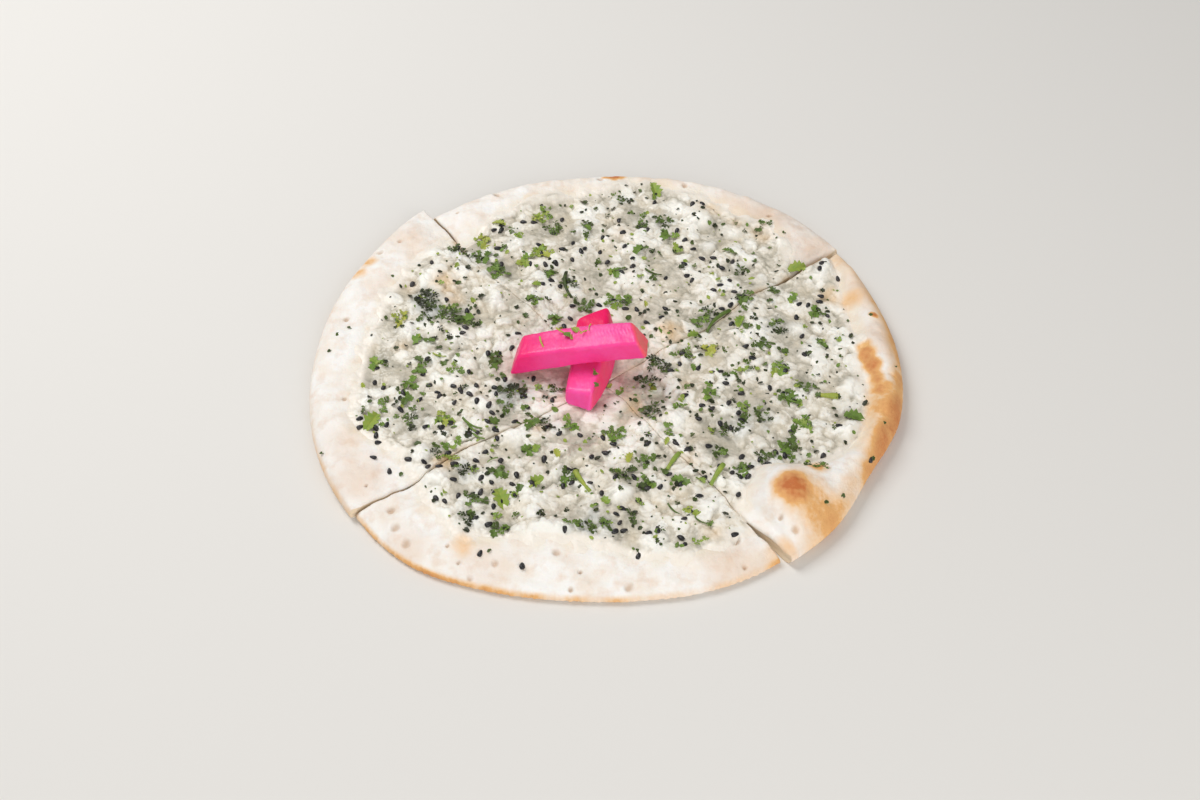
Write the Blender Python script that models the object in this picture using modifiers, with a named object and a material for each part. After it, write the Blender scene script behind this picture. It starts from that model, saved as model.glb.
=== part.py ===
"""Manakish: a round flat bread cut in four, topped with white cheese, black seeds and parsley, with two
sticks of pink pickled turnip crossed on top. Metres, +Z up, standing on z = 0 about its middle."""

import math
import random
from collections import namedtuple

import bmesh
import bpy
from mathutils import Matrix, Vector, noise
from mathutils.bvhtree import BVHTree
from mathutils.geometry import delaunay_2d_cdt

MM = 0.001


def mm(*values):
    return tuple(value * MM for value in values)


# The bread was cut twice with a wheel, and the cuts cross a little off its middle.
CUT_CENTRE = Vector(mm(-1.45, -12.45))
CUT_LENGTH = 112.5 * MM  # the length over which a cut's waver is given
CUT_PULL = 10 * MM  # how far from a cut the bread gives way to its waver
CUT_START = 1.6 * MM  # the tip of a quarter is this blunt
BREAD_REACH = 120 * MM  # no part of the bread lies further out than this

Cut = namedtuple("Cut", "angle gap_centre gap_rim waver")
CUTS = {
    "upper_right": Cut(38.9, 0.5 * MM, 2.0 * MM, mm(0, 0, 0, -0.3, -1.2, 0.6, 1.4, 0, 1.0, 0.6)),
    "upper_left": Cut(127.5, 0.5 * MM, 0.8 * MM, mm(0, -0.3, -0.8, -1.2, -1.3, 0.5, 2.4, 1.8, -0.3, 0)),
    "lower_left": Cut(215.7, 0.5 * MM, 1.0 * MM, mm(0, -0.3, -0.4, -0.5, -2.4, -2.4, 0, -1.0, -2.0, -1.5)),
    "lower_right": Cut(307.9, 0.5 * MM, 2.6 * MM, mm(0, 1.6, 1.2, 0.9, 1.6, 2.2, 1.0, 2.9, 3.0, 3.0)),
}

# Each quarter's outline is its reach from the cut centre, evenly spaced from its first cut to its last one.
# The topping's edge is given the same way. The profile is the rim's height from its outer edge inwards.
Quarter = namedtuple("Quarter", "first last reach topping profile edge roll under")
QUARTERS = {
    "back": Quarter(
        "upper_right",
        "upper_left",
        mm(117.4, 119.0, 118.3, 115.8, 114.6, 113.7, 112.2),
        mm(92.3, 103.1, 105.6, 107.6, 109.3, 101.8, 101.4, 96.5, 89.4),
        mm(7.0, 8.0, 8.0, 7.4),
        edge=2.4 * MM,
        roll=4.0 * MM,
        under=2.5 * MM,
    ),
    "left": Quarter(
        "upper_left",
        "lower_left",
        mm(118.8, 113.5, 109.7, 106.5, 104.8, 103.7, 102.6),
        mm(95.9, 94.2, 92.2, 88.8, 88.1, 87.3, 89.0, 77.8, 76.3),
        mm(6.6, 7.6, 7.8, 7.0),
        edge=2.6 * MM,
        roll=4.5 * MM,
        under=2.5 * MM,
    ),
    "front": Quarter(
        "lower_left",
        "lower_right",
        mm(100.8, 99.6, 94.4, 90.9, 90.5, 92.5, 94.4),
        mm(77.2, 80.5, 80.3, 72.8, 69.4, 72.2, 78.3, 80.0, 78.3),
        mm(3.4, 5.2, 6.6, 6.8),
        edge=1.3 * MM,
        roll=3.0 * MM,
        under=2.0 * MM,
    ),
    "right": Quarter(
        "lower_right",
        "upper_right",
        mm(97.3, 99.0, 99.6, 106.1, 109.6, 112.2, 115.5),
        mm(71.6, 69.5, 68.0, 66.8, 76.5, 84.6, 89.8, 92.9, 94.6)
        + mm(94.3, 93.8, 94.8, 96.5, 98.2, 100.8, 106.0, 111.4),
        mm(8.2, 10.6, 10.2, 7.4),
        edge=3.4 * MM,
        roll=6.5 * MM,
        under=4.0 * MM,
    ),
}

# Dough: the slab under the topping, and what stands up on the rim.
SLAB_TOP = 4.2 * MM
GAP = 0.3 * MM  # clearance between pieces that touch
STEP = 0.3 * MM  # how far the rim's inner wall leans
FOLD_SIZE = 17 * MM
FOLD_RISE = 0.9 * MM
RIM_CELL = 4.3 * MM  # spacing of the rim's corners
SIDE_CELL = 8 * MM  # spacing of the slab's corners along a cut
ROLL_STEPS = (0.08, 0.3, 0.65, 1.0)  # rows of corners on the rim's outer roll, as shares of its width
UNDER_STEPS = (0.25, 1.0)
PINCH_HEIGHT = 5.6 * MM  # the wheel pressed the rim down to this height where it cut
PINCH_WIDTH = 13 * MM

# Swellings of the rim as (x, y, radius, rise). The first is the browned bubble.
SWELLINGS = (
    mm(61, -61, 17, 5.4),
    mm(46, -79, 10, 1.2),
    mm(66, 68, 12, 1.6),
    mm(-40, 90, 10, 1.0),
    mm(97, 6, 12, 1.2),
)

# The holes that the baker's docker pricked, and their size.
DOCKER_HOLES = (
    mm(-72, -70),
    mm(-66, -83),
    mm(-52, -85),
    mm(-36, -91),
    mm(-16, -87),
    mm(-8, -94),
    mm(8, -99),
    mm(46, -90),
    mm(63, -78),
    mm(-97, 18),
    mm(-93, -22),
    mm(-60, 77),
    mm(30, 95),
    mm(102, -8),
)
HOLE_RADIUS = 1.3 * MM
HOLE_DEPTH = 1.0 * MM
HOLE_SIDES = 6

# Cheese: a lumpy layer that keeps clear of the slab and of the rim.
CHEESE_FLOOR = SLAB_TOP + GAP
CHEESE_TOP = 7.0 * MM
CHEESE_AT_CUT = 5.9 * MM
CHEESE_ROUND = 3.0 * MM  # how far in from an edge the layer reaches its full height
CHEESE_CELL = 4.4 * MM
LUMP_SIZE = 10 * MM
LUMP_RISE = 1.5 * MM

# Mounds of whiter cheese at the topping's edge, as (x, y, radius, rise).
MOUNDS = (
    mm(-56, -56, 9, 1.4),
    mm(-17, -77, 10, 1.5),
    mm(82, 48, 9, 1.6),
    mm(36, 76, 9, 1.2),
    mm(86, -31, 7, 1.3),
    mm(86, -10, 6, 1.0),
    mm(50, -32, 8, 1.0),
    mm(-66, 50, 9, 1.0),
    mm(20, 18, 9, 0.9),
)

# Toppings: seeds and leaves lie on the cheese, one to each cell, and a few seeds on the rim.
TOPPING_CELL = 13.4 * MM
TOPPING_STRAY = 2.6 * MM
TOPPING_MARGIN = 5.5 * MM
LEAF_EVERY = 3
SEED_LENGTH = 3.2 * MM
SEED_WIDTH = 2.0 * MM
SEED_THICK = 1.5 * MM
SEED_TAPER = 0.35
LEAF_SIZES = mm(5.0, 6.5, 8.5)
LEAF_CORNERS = 9
LEAF_LOBES = 3
LEAF_THICK = 0.8 * MM
LEAF_WAVE = 0.4 * MM
LEAF_LIFT = 0.7 * MM  # how far one side of a leaf stands up from the cheese
RIM_SEEDS = {
    "left": (mm(-80, -49.5), mm(-75, -55), mm(-71.5, -50)),
    "front": (mm(-41, -88), mm(-27, -92.5), mm(11, -91), mm(46, -83)),
    "right": (mm(54, -76),),
}
SEED_OF_CHANCE = 20

# Pickled turnip: the corners of each stick as bottom and top, front and back at both of its ends.
Stick = namedtuple("Stick", "corners bow bulge_low bulge_high")
UNDER_STICK = Stick(
    {
        (-1, -1, -1): mm(-14.8, -22.5, 7.2),
        (-1, 1, -1): mm(-5.9, -27.0, 7.2),
        (-1, -1, 1): mm(-14.6, -20.5, 12.4),
        (-1, 1, 1): mm(-5.0, -23.8, 14.6),
        (1, -1, -1): mm(-11.8, 15.0, 7.2),
        (1, 1, -1): mm(2.0, 17.0, 7.2),
        (1, -1, 1): mm(-11.2, 15.4, 12.4),
        (1, 1, 1): mm(0.0, 20.0, 15.0),
    },
    bow=0.2 * MM,
    bulge_low=5.0 * MM,
    bulge_high=1.4 * MM,
)
TOP_STICK = Stick(
    {
        (-1, -1, -1): mm(-33.4, 1.0, 7.6),
        (-1, 1, -1): mm(-35.5, -10.0, 7.4),
        (-1, -1, 1): mm(-30.8, 2.1, 16.8),
        (-1, 1, 1): mm(-32.2, -8.4, 16.4),
        (1, -1, -1): mm(15.1, -3.0, 20.4),
        (1, 1, -1): mm(14.1, -12.4, 20.2),
        (1, -1, 1): mm(8.1, -1.6, 28.9),
        (1, 1, 1): mm(10.9, -12.6, 28.5),
    },
    bow=1.0 * MM,
    bulge_low=0.0,
    bulge_high=0.6 * MM,
)
STICK_CUTS = 5
STICK_EDGE = 1.1 * MM
PRESS_MARGIN = 4.5 * MM  # the cheese lies flat this far round a stick that rests on it

Finish = namedtuple("Finish", "colour roughness")
FINISHES = {
    "BakedDough": Finish((0.83, 0.72, 0.60), 0.75),
    "WhiteCheese": Finish((0.81, 0.79, 0.70), 0.45),
    "BlackSeed": Finish((0.014, 0.014, 0.018), 0.5),
    "Parsley": Finish((0.07, 0.20, 0.02), 0.55),
    "PickledTurnip": Finish((0.84, 0.02, 0.22), 0.3),
}


def clear_scene():
    for obj in list(bpy.data.objects):
        bpy.data.objects.remove(obj, do_unlink=True)


def new_collection(name):
    collection = bpy.data.collections.new(name)
    bpy.context.scene.collection.children.link(collection)
    return collection


def material(name):
    found = bpy.data.materials.get(name)
    if found:
        return found
    made = bpy.data.materials.new(name)
    made.use_nodes = True
    shader = made.node_tree.nodes["Principled BSDF"]
    shader.inputs["Base Color"].default_value = (*FINISHES[name].colour, 1.0)
    shader.inputs["Roughness"].default_value = FINISHES[name].roughness
    shader.inputs["Metallic"].default_value = 0.0
    return made


def new_object(name, mesh, finish, collection):
    """An object made from a bmesh, which it frees."""
    data = bpy.data.meshes.new(name)
    mesh.to_mesh(data)
    mesh.free()
    data.materials.append(material(finish))
    obj = bpy.data.objects.new(name, data)
    collection.objects.link(obj)
    return obj


def through(values, share):
    """The smooth curve through evenly spaced values, read at a share of its length from 0 to 1."""
    place = min(max(share, 0.0), 1.0) * (len(values) - 1)
    i = min(int(place), len(values) - 2)
    t = place - i
    before, here, there = values[max(i - 1, 0)], values[i], values[i + 1]
    after = values[min(i + 2, len(values) - 1)]
    bend = 2 * before - 5 * here + 4 * there - after
    return here + 0.5 * t * (there - before + t * (bend + t * (3 * (here - there) + after - before)))


def smooth(share):
    share = min(max(share, 0.0), 1.0)
    return share * share * (3 - 2 * share)


def rounded(share):
    """A quarter circle's rise, from 0 at its foot to 1 where it levels out."""
    return math.sqrt(1 - (1 - min(max(share, 0.0), 1.0)) ** 2)


def ray(angle):
    return Vector((math.cos(math.radians(angle)), math.sin(math.radians(angle))))


def angles_of(quarter):
    """The angles of a quarter's two cuts, in degrees, the last above the first."""
    first, last = CUTS[quarter.first].angle, CUTS[quarter.last].angle
    return first, last + 360 * (last < first)


def plan_point(quarter, share, distance):
    """The plan point at a share of the quarter's angle and a distance from the cut centre."""
    first, last = angles_of(quarter)
    return CUT_CENTRE + ray(first + share * (last - first)) * distance


def plan_place(quarter, point):
    """The share of the quarter's angle and the distance from the cut centre of a plan point."""
    first, last = angles_of(quarter)
    away = point - CUT_CENTRE
    angle = math.degrees(math.atan2(away.y, away.x)) - first
    return ((angle + 90) % 360 - 90) / (last - first), away.length


def distance_to_cuts(quarter, point):
    """How far inside the quarter a plan point lies from its first and its last cut."""
    first, last = angles_of(quarter)
    away = point - CUT_CENTRE
    return ray(first + 90).dot(away), ray(last - 90).dot(away)


def settled(quarter, point):
    """Where a plan point goes when the cuts beside it waver and open."""
    along = (point - CUT_CENTRE).length / CUT_LENGTH
    moved = point.copy()
    for name, side, inside in zip((quarter.first, quarter.last), (1, -1), distance_to_cuts(quarter, point)):
        cut = CUTS[name]
        gap = cut.gap_centre + (cut.gap_rim - cut.gap_centre) * along
        shift = through(cut.waver, along) + side * gap / 2
        moved += ray(cut.angle + 90) * shift * smooth(1 - inside / CUT_PULL)
    return moved


def bump(point, swelling):
    """The rise of one swelling at a plan point, a full dome with a soft foot."""
    x, y, radius, rise = swelling
    away = (point - Vector((x, y))).length / radius
    return rise * max(0.0, 1 - away * away) ** 1.5


def topping_edge(quarter, share):
    return through(quarter.topping, share)


def rim_height(quarter, share, inward, width):
    """The rim's height at a distance in from its outer edge, before swellings and holes."""
    level = through(quarter.profile, inward / width)
    return quarter.edge + (level - quarter.edge) * rounded(inward / quarter.roll)


def dough_top(quarter, point):
    share, distance = plan_place(quarter, point)
    reach = through(quarter.reach, share)
    edge = topping_edge(quarter, share)
    if distance < edge - STEP / 2:
        return SLAB_TOP
    inward = reach - distance
    soft = smooth(inward / (2 * quarter.roll))
    height = rim_height(quarter, share, inward, reach - edge)
    height += FOLD_RISE * soft * noise.noise((point / FOLD_SIZE).to_3d())
    height += sum(bump(point, swelling) for swelling in SWELLINGS) * soft
    cuts = min(distance_to_cuts(quarter, point))
    height += (min(height, PINCH_HEIGHT) - height) * smooth(1 - cuts / PINCH_WIDTH)
    for hole in DOCKER_HOLES:
        away = (point - Vector(hole)).length / HOLE_RADIUS
        height -= HOLE_DEPTH * max(0.0, 1 - away)
    return height


def dough_under(quarter, point):
    """The underside, which turns up to meet the top at the outer edge."""
    share, distance = plan_place(quarter, point)
    inward = through(quarter.reach, share) - distance
    return quarter.edge * (1 - rounded(inward / quarter.under))


def segment_distance(point, start, end):
    run = end - start
    share = min(max((point - start).dot(run) / run.length_squared, 0.0), 1.0)
    return (point - start - run * share).length


def pressed(point):
    """How firmly a resting stick holds the cheese down at a plan point, from 0 to 1."""
    low = {key: Vector(place[:2]) for key, place in UNDER_STICK.corners.items()}
    near = (low[-1, -1, -1] + low[-1, 1, -1]) / 2
    far = (low[1, -1, -1] + low[1, 1, -1]) / 2
    half = (low[1, 1, -1] - low[1, -1, -1]).length / 2
    under = segment_distance(point, near, far) - half
    low = {key: Vector(place[:2]) for key, place in TOP_STICK.corners.items()}
    tip = segment_distance(point, low[-1, -1, -1], low[-1, 1, -1])
    return smooth(2 - min(under, tip) / PRESS_MARGIN)


def cheese_top(quarter, point):
    share, distance = plan_place(quarter, point)
    reach = topping_edge(quarter, share) - STEP - GAP
    cuts = min(distance_to_cuts(quarter, point))
    wall = max(reach - distance, 0.0)
    height = CHEESE_TOP + LUMP_RISE * noise.noise((point / LUMP_SIZE).to_3d() + Vector((0, 0, 3)))
    height += sum(bump(point, mound) for mound in MOUNDS)
    rest = UNDER_STICK.corners[-1, -1, -1][2] - GAP
    height += (min(height, rest) - height) * pressed(point)
    at_rim = quarter.profile[-1]
    height = at_rim + (height - at_rim) * rounded(wall / CHEESE_ROUND)
    return CHEESE_AT_CUT + (height - CHEESE_AT_CUT) * rounded(cuts / CHEESE_ROUND)


def cheese_under(quarter, point):
    """The underside is flat, so it is the same at every plan point."""
    return CHEESE_FLOOR


def arc_row(quarter, edge, inset, cell):
    """Plan points along a curve of reaches, inset from it, from the quarter's first cut to its last."""
    first, last = angles_of(quarter)
    mean = sum(edge) / len(edge)
    count = round(math.radians(last - first) * mean / cell)
    return [plan_point(quarter, i / count, through(edge, i / count) - inset) for i in range(count + 1)]


def side_row(quarter, share, start, end, cell):
    """Plan points along a cut, from start to end without the end."""
    count = max(1, round((end - start) / cell))
    return [plan_point(quarter, share, start + (end - start) * i / count) for i in range(count)]


def lattice(cell):
    """A lattice of even triangles over the whole bread."""
    rows = round(BREAD_REACH / (cell * math.sqrt(0.75)))
    columns = round(BREAD_REACH / cell)
    for j in range(-rows, rows + 1):
        for i in range(-columns, columns + 1):
            yield Vector(((i + 0.5 * (j % 2)) * cell, j * cell * math.sqrt(0.75)))


def inside(quarter, point, margin, low, high):
    """Whether a plan point lies in the quarter, between two distances and clear of its cuts."""
    return low < (point - CUT_CENTRE).length < high and min(distance_to_cuts(quarter, point)) > margin


def on_rim(quarter, point):
    """Whether a plan point lies outside the topping, with a little to spare."""
    share, distance = plan_place(quarter, point)
    return distance > topping_edge(quarter, share) + STEP


def hole_corners(quarter):
    """Plan points of each docker hole in the quarter: a ring and its middle."""
    corners = []
    for hole in map(Vector, DOCKER_HOLES):
        if min(distance_to_cuts(quarter, hole)) > 2 * HOLE_RADIUS:
            turns = [360 * i / HOLE_SIDES for i in range(HOLE_SIDES)]
            corners += [hole] + [hole + ray(turn) * HOLE_RADIUS for turn in turns]
    return corners


def sheet(outline, inner, creases):
    """Triangles over a flat outline, with corners at the inner points and edges along the creases.

    Returns the corners, the triangles and the outline's own corners in order."""
    points = list(outline) + list(inner)
    edges = []
    for crease in creases:
        numbers = range(len(points), len(points) + len(crease))
        edges += zip(numbers[:-1], numbers[1:])
        points += crease
    ring = list(range(len(outline)))
    corners, _, faces, sources, _, _ = delaunay_2d_cdt(points, edges, [ring], 1, 1e-7)
    place = {source: i for i, group in enumerate(sources) for source in group}
    return corners, faces, [place[i] for i in ring]


def closed_sheet(quarter, outline, upper, lower):
    """A closed bmesh between an upper and a lower sheet over one outline, settled along the cuts.

    Each is its inner points, its creases and its height."""
    mesh = bmesh.new()
    rings = []
    for inner, creases, height in (upper, lower):
        corners, faces, ring = sheet(outline, inner, creases)
        verts = [mesh.verts.new((*settled(quarter, p), height(quarter, p))) for p in corners]
        for face in faces:
            mesh.faces.new([verts[i] for i in face])
        rings.append([verts[i] for i in ring])
    high, low = rings
    for i in range(len(outline)):
        mesh.faces.new((high[i - 1], high[i], low[i], low[i - 1]))
    bmesh.ops.remove_doubles(mesh, verts=mesh.verts, dist=1e-6)
    bmesh.ops.recalc_face_normals(mesh, faces=mesh.faces)
    return mesh


def make_dough(name, collection):
    """One quarter of the bread: the slab, and the rim that stands round the topping."""
    quarter = QUARTERS[name]
    sides = []
    for share in (0, 1):
        foot = quarter.topping[-share] - STEP
        wall = quarter.topping[-share]
        rolls = [quarter.reach[-share] - step * quarter.roll for step in ROLL_STEPS[::-1]]
        row = side_row(quarter, share, CUT_START, foot, SIDE_CELL)
        row += [plan_point(quarter, share, foot)]
        row += side_row(quarter, share, wall, max(rolls[0], wall + STEP), RIM_CELL)
        row += [plan_point(quarter, share, roll) for roll in rolls if roll > wall + STEP]
        sides.append(row)
    edge = arc_row(quarter, quarter.reach, 0, RIM_CELL)
    outline = sides[0] + edge + sides[1][::-1]
    creases = [
        arc_row(quarter, quarter.topping, STEP, RIM_CELL),
        arc_row(quarter, quarter.topping, 0, RIM_CELL),
    ]
    rolls = [
        point
        for step in ROLL_STEPS
        for point in arc_row(quarter, quarter.reach, step * quarter.roll, RIM_CELL)[1:-1]
        if on_rim(quarter, point)
    ]
    holes = hole_corners(quarter)
    inner = []
    for point in lattice(RIM_CELL):
        share = plan_place(quarter, point)[0]
        low = topping_edge(quarter, share) + RIM_CELL / 2
        high = through(quarter.reach, share) - quarter.roll - RIM_CELL / 2
        clear = all((point - hole).length > RIM_CELL / 2 for hole in holes)
        if clear and inside(quarter, point, RIM_CELL / 2, low, high):
            inner.append(point)
    unders = [
        point
        for step in UNDER_STEPS
        for point in arc_row(quarter, quarter.reach, step * quarter.under, RIM_CELL)[1:-1]
    ]
    upper = (inner + rolls + holes, creases, dough_top)
    lower = (unders, [], dough_under)
    mesh = closed_sheet(quarter, outline, upper, lower)
    return new_object("dough_" + name, mesh, "BakedDough", collection)


def make_cheese(name, collection):
    """The layer of cheese on one quarter."""
    quarter = QUARTERS[name]
    border = tuple(reach - STEP - GAP for reach in quarter.topping)
    sides = [side_row(quarter, share, CUT_START, border[-share], CHEESE_CELL) for share in (0, 1)]
    outline = sides[0] + arc_row(quarter, border, 0, CHEESE_CELL) + sides[1][::-1]
    inner = arc_row(quarter, border, CHEESE_ROUND / 2, CHEESE_CELL)[1:-1]
    for point in lattice(CHEESE_CELL):
        share = plan_place(quarter, point)[0]
        if inside(quarter, point, CHEESE_CELL / 2, CUT_START, through(border, share) - CHEESE_CELL):
            inner.append(point)
    mesh = closed_sheet(quarter, outline, (inner, [], cheese_top), ([], [], cheese_under))
    return new_object("cheese_" + name, mesh, "WhiteCheese", collection)


def make_seed(place, turn, tilt, collection):
    """One seed, a pointed drop, half sunk in what it lies on."""
    mesh = bmesh.new()
    bmesh.ops.create_icosphere(mesh, subdivisions=1, radius=0.5)
    for vert in mesh.verts:
        taper = 1 - SEED_TAPER * 2 * vert.co.x
        vert.co = Vector((vert.co.x * SEED_LENGTH, vert.co.y * SEED_WIDTH * taper, vert.co.z * SEED_THICK))
    turned = Matrix.Translation(place) @ Matrix.Rotation(turn, 4, "Z") @ Matrix.Rotation(tilt, 4, "Y")
    bmesh.ops.transform(mesh, matrix=turned, verts=mesh.verts)
    return new_object("seed", mesh, "BlackSeed", collection)


def make_leaf(surface, place, turn, size, collection):
    """One lobed leaf, thin and wavy, that follows the surface it lies on."""
    mesh = bmesh.new()
    rings = []
    for side in (1, -1):
        verts = []
        for i in range(LEAF_CORNERS):
            angle = 2 * math.pi * i / LEAF_CORNERS
            reach = size / 2 * (0.7 + 0.3 * math.cos(LEAF_LOBES * angle))
            point = place + Vector((math.cos(angle + turn), math.sin(angle + turn))) * reach
            rise = side * LEAF_THICK / 2 + LEAF_WAVE * math.sin(LEAF_LOBES * angle + turn)
            rise += LEAF_LIFT * math.cos(angle)
            verts.append(mesh.verts.new((*point, surface(point) + rise)))
        middle = mesh.verts.new((*place, surface(place) + side * LEAF_THICK / 2))
        for i in range(LEAF_CORNERS):
            mesh.faces.new((middle, verts[i - 1], verts[i]))
        rings.append(verts)
    high, low = rings
    for i in range(LEAF_CORNERS):
        mesh.faces.new((high[i - 1], high[i], low[i], low[i - 1]))
    bmesh.ops.recalc_face_normals(mesh, faces=mesh.faces)
    return new_object("leaf", mesh, "Parsley", collection)


def surface_of(obj):
    """A function that gives the height of an object's top at a plan point."""
    mesh = bmesh.new()
    mesh.from_mesh(obj.data)
    tree = BVHTree.FromBMesh(mesh)
    mesh.free()

    def height(point):
        hit = tree.ray_cast(Vector((point.x, point.y, 1.0)), Vector((0, 0, -1)))[0]
        return hit.z if hit else 0.0

    return height


def fuse(base, toppings):
    """Joins every object of a collection to the base, and removes the collection."""
    union = base.modifiers.new("Toppings", "BOOLEAN")
    union.operation = "UNION"
    union.operand_type = "COLLECTION"
    union.collection = toppings
    union.solver = "MANIFOLD"
    bpy.context.view_layer.update()
    graph = bpy.context.evaluated_depsgraph_get()
    fused = bpy.data.meshes.new_from_object(base.evaluated_get(graph))
    base.modifiers.clear()
    base.data = fused
    for obj in list(toppings.objects):
        bpy.data.objects.remove(obj, do_unlink=True)
    bpy.data.collections.remove(toppings)


def scatter(name, base, chance):
    """Seeds and leaves on one quarter's cheese, one to each cell, a leaf at every third."""
    quarter = QUARTERS[name]
    surface = surface_of(base)
    toppings = new_collection("toppings_" + name)
    kept = 0
    for cell in lattice(TOPPING_CELL):
        stray = ray(chance.uniform(0, 360)) * chance.uniform(0, TOPPING_STRAY)
        turn = chance.uniform(0, 2 * math.pi)
        tilt = chance.uniform(-0.3, 0.3)
        size = chance.choice(LEAF_SIZES)
        point = cell + stray
        share = plan_place(quarter, point)[0]
        reach = topping_edge(quarter, share) - TOPPING_MARGIN
        if not inside(quarter, point, TOPPING_MARGIN, 0, reach) or pressed(point) > 0:
            continue
        kept += 1
        point = settled(quarter, point)
        if kept % LEAF_EVERY:
            make_seed(Vector((*point, surface(point))), turn, tilt, toppings)
        else:
            make_leaf(surface, point, turn, size, toppings)
    fuse(base, toppings)


def scatter_rim(name, base, chance):
    """The few seeds that fell on a quarter's rim."""
    surface = surface_of(base)
    toppings = new_collection("strays_" + name)
    for point in map(Vector, RIM_SEEDS[name]):
        place = Vector((*point, surface(point)))
        make_seed(place, chance.uniform(0, 2 * math.pi), chance.uniform(-0.2, 0.2), toppings)
    fuse(base, toppings)


def make_stick(name, stick, collection):
    """One stick of pickled turnip: a box drawn to its eight corners, bowed, with its edges rounded."""
    mesh = bmesh.new()
    bmesh.ops.create_cube(mesh, size=2)
    long_edges = [edge for edge in mesh.edges if abs(edge.verts[0].co.x - edge.verts[1].co.x) > 1]
    bmesh.ops.subdivide_edges(mesh, edges=long_edges, cuts=STICK_CUTS, use_grid_fill=True)
    for vert in mesh.verts:
        along = (vert.co.x + 1) / 2
        side, level = round(vert.co.y), round(vert.co.z)
        start = Vector(stick.corners[-1, side, level])
        end = Vector(stick.corners[1, side, level])
        arch = 4 * along * (1 - along)
        across = Vector(stick.corners[-1, 1, level]) - Vector(stick.corners[-1, -1, level])
        across += Vector(stick.corners[1, 1, level]) - Vector(stick.corners[1, -1, level])
        bulge = stick.bulge_low if level < 0 else stick.bulge_high
        vert.co = start.lerp(end, along) + Vector((0, 0, stick.bow * arch))
        if side > 0:
            vert.co += across.normalized() * bulge * arch
    mesh.normal_update()
    bmesh.ops.recalc_face_normals(mesh, faces=mesh.faces)
    obj = new_object(name, mesh, "PickledTurnip", collection)
    bevel = obj.modifiers.new("RoundedEdges", "BEVEL")
    bevel.width = STICK_EDGE
    bevel.segments = 2
    bevel.limit_method = "ANGLE"
    bevel.angle_limit = math.radians(35)
    return obj


def main():
    clear_scene()
    collection = new_collection("Manakish")
    chance = random.Random(SEED_OF_CHANCE)
    for name in QUARTERS:
        dough = make_dough(name, collection)
        if name in RIM_SEEDS:
            scatter_rim(name, dough, chance)
        scatter(name, make_cheese(name, collection), chance)
    make_stick("pickle_under", UNDER_STICK, collection)
    make_stick("pickle_top", TOP_STICK, collection)


main()
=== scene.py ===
"""Manakish: a round flat bread cut in four, with white cheese, black seeds, chopped parsley and two sticks of
pink pickled turnip. Laid out as an add-on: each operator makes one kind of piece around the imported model."""

import math
import random
from collections import namedtuple

import bmesh
import bpy
import numpy as np
from bpy.props import FloatProperty, FloatVectorProperty, IntProperty, PointerProperty
from mathutils import Euler, Matrix, Vector, noise
from mathutils.bvhtree import BVHTree
from mathutils.geometry import delaunay_2d_cdt


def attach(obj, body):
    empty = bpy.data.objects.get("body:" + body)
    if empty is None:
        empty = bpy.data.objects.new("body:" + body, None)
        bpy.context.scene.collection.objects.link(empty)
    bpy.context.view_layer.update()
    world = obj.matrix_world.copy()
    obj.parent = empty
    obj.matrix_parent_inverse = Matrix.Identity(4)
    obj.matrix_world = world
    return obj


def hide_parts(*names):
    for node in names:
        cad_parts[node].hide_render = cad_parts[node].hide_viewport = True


bl_info = {
    "name": "Manakish",
    "version": (1, 0, 0),
    "blender": (4, 5, 0),
    "location": "3D View > Sidebar > Manakish",
    "description": "Makes a manakish with its crust, cheese, seeds, parsley and pickles",
    "category": "Object",
}

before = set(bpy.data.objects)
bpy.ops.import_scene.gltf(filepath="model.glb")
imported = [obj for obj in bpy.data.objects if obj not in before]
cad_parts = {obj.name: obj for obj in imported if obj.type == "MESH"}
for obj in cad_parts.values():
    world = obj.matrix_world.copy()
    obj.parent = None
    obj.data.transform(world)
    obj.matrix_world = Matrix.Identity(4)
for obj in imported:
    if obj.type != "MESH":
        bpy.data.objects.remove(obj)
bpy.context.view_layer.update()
BODY = "root"
MM = 0.001


def mm(*values):
    return tuple(value * MM for value in values)


def linear(code):
    """An sRGB hex colour as linear red, green and blue."""
    shares = [int(code[i : i + 2], 16) / 255 for i in (1, 3, 5)]
    return tuple(s / 12.92 if s <= 0.04045 else ((s + 0.055) / 1.055) ** 2.4 for s in shares)


# ---------------------------------------------------------------------------------------------------------
# The bread's plan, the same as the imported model's. These tables are in metres.

CUT_CENTRE = np.array(mm(-1.45, -12.45))  # where the two wheel cuts cross
CUT_LENGTH = 112.5 * MM  # the length over which a cut's waver is given
CUT_PULL = 10 * MM  # how far from a cut the bread gives way to its waver
CUT_START = 1.6 * MM  # the tip of a quarter is this blunt
BREAD_REACH = 120 * MM  # no part of the bread lies further out than this

# A cut's angle in degrees, its gap at the centre and at the rim, and how far it wavers sideways on its way.
# closed is how far the melting cheese ran together again over the inner part of the cut.
Cut = namedtuple("Cut", "angle gap_centre gap_rim waver closed")
CUTS = {
    "upper_right": Cut(38.9, 0.5 * MM, 2.0 * MM, mm(0, 0, 0, -0.3, -1.2, 0.6, 1.4, 0, 1.0, 0.6), 0.75),
    "upper_left": Cut(127.5, 0.5 * MM, 0.8 * MM, mm(0, -0.3, -0.8, -1.2, -1.3, 0.5, 2.4, 1.8, -0.3, 0), 0.95),
    "lower_left": Cut(
        215.7, 0.5 * MM, 1.0 * MM, mm(0, -0.3, -0.4, -0.5, -2.4, -2.4, 0, -1.0, -2.0, -1.5), 0.4
    ),
    "lower_right": Cut(307.9, 0.5 * MM, 2.6 * MM, mm(0, 1.6, 1.2, 0.9, 1.6, 2.2, 1.0, 2.9, 3.0, 3.0), 0.85),
}

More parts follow.
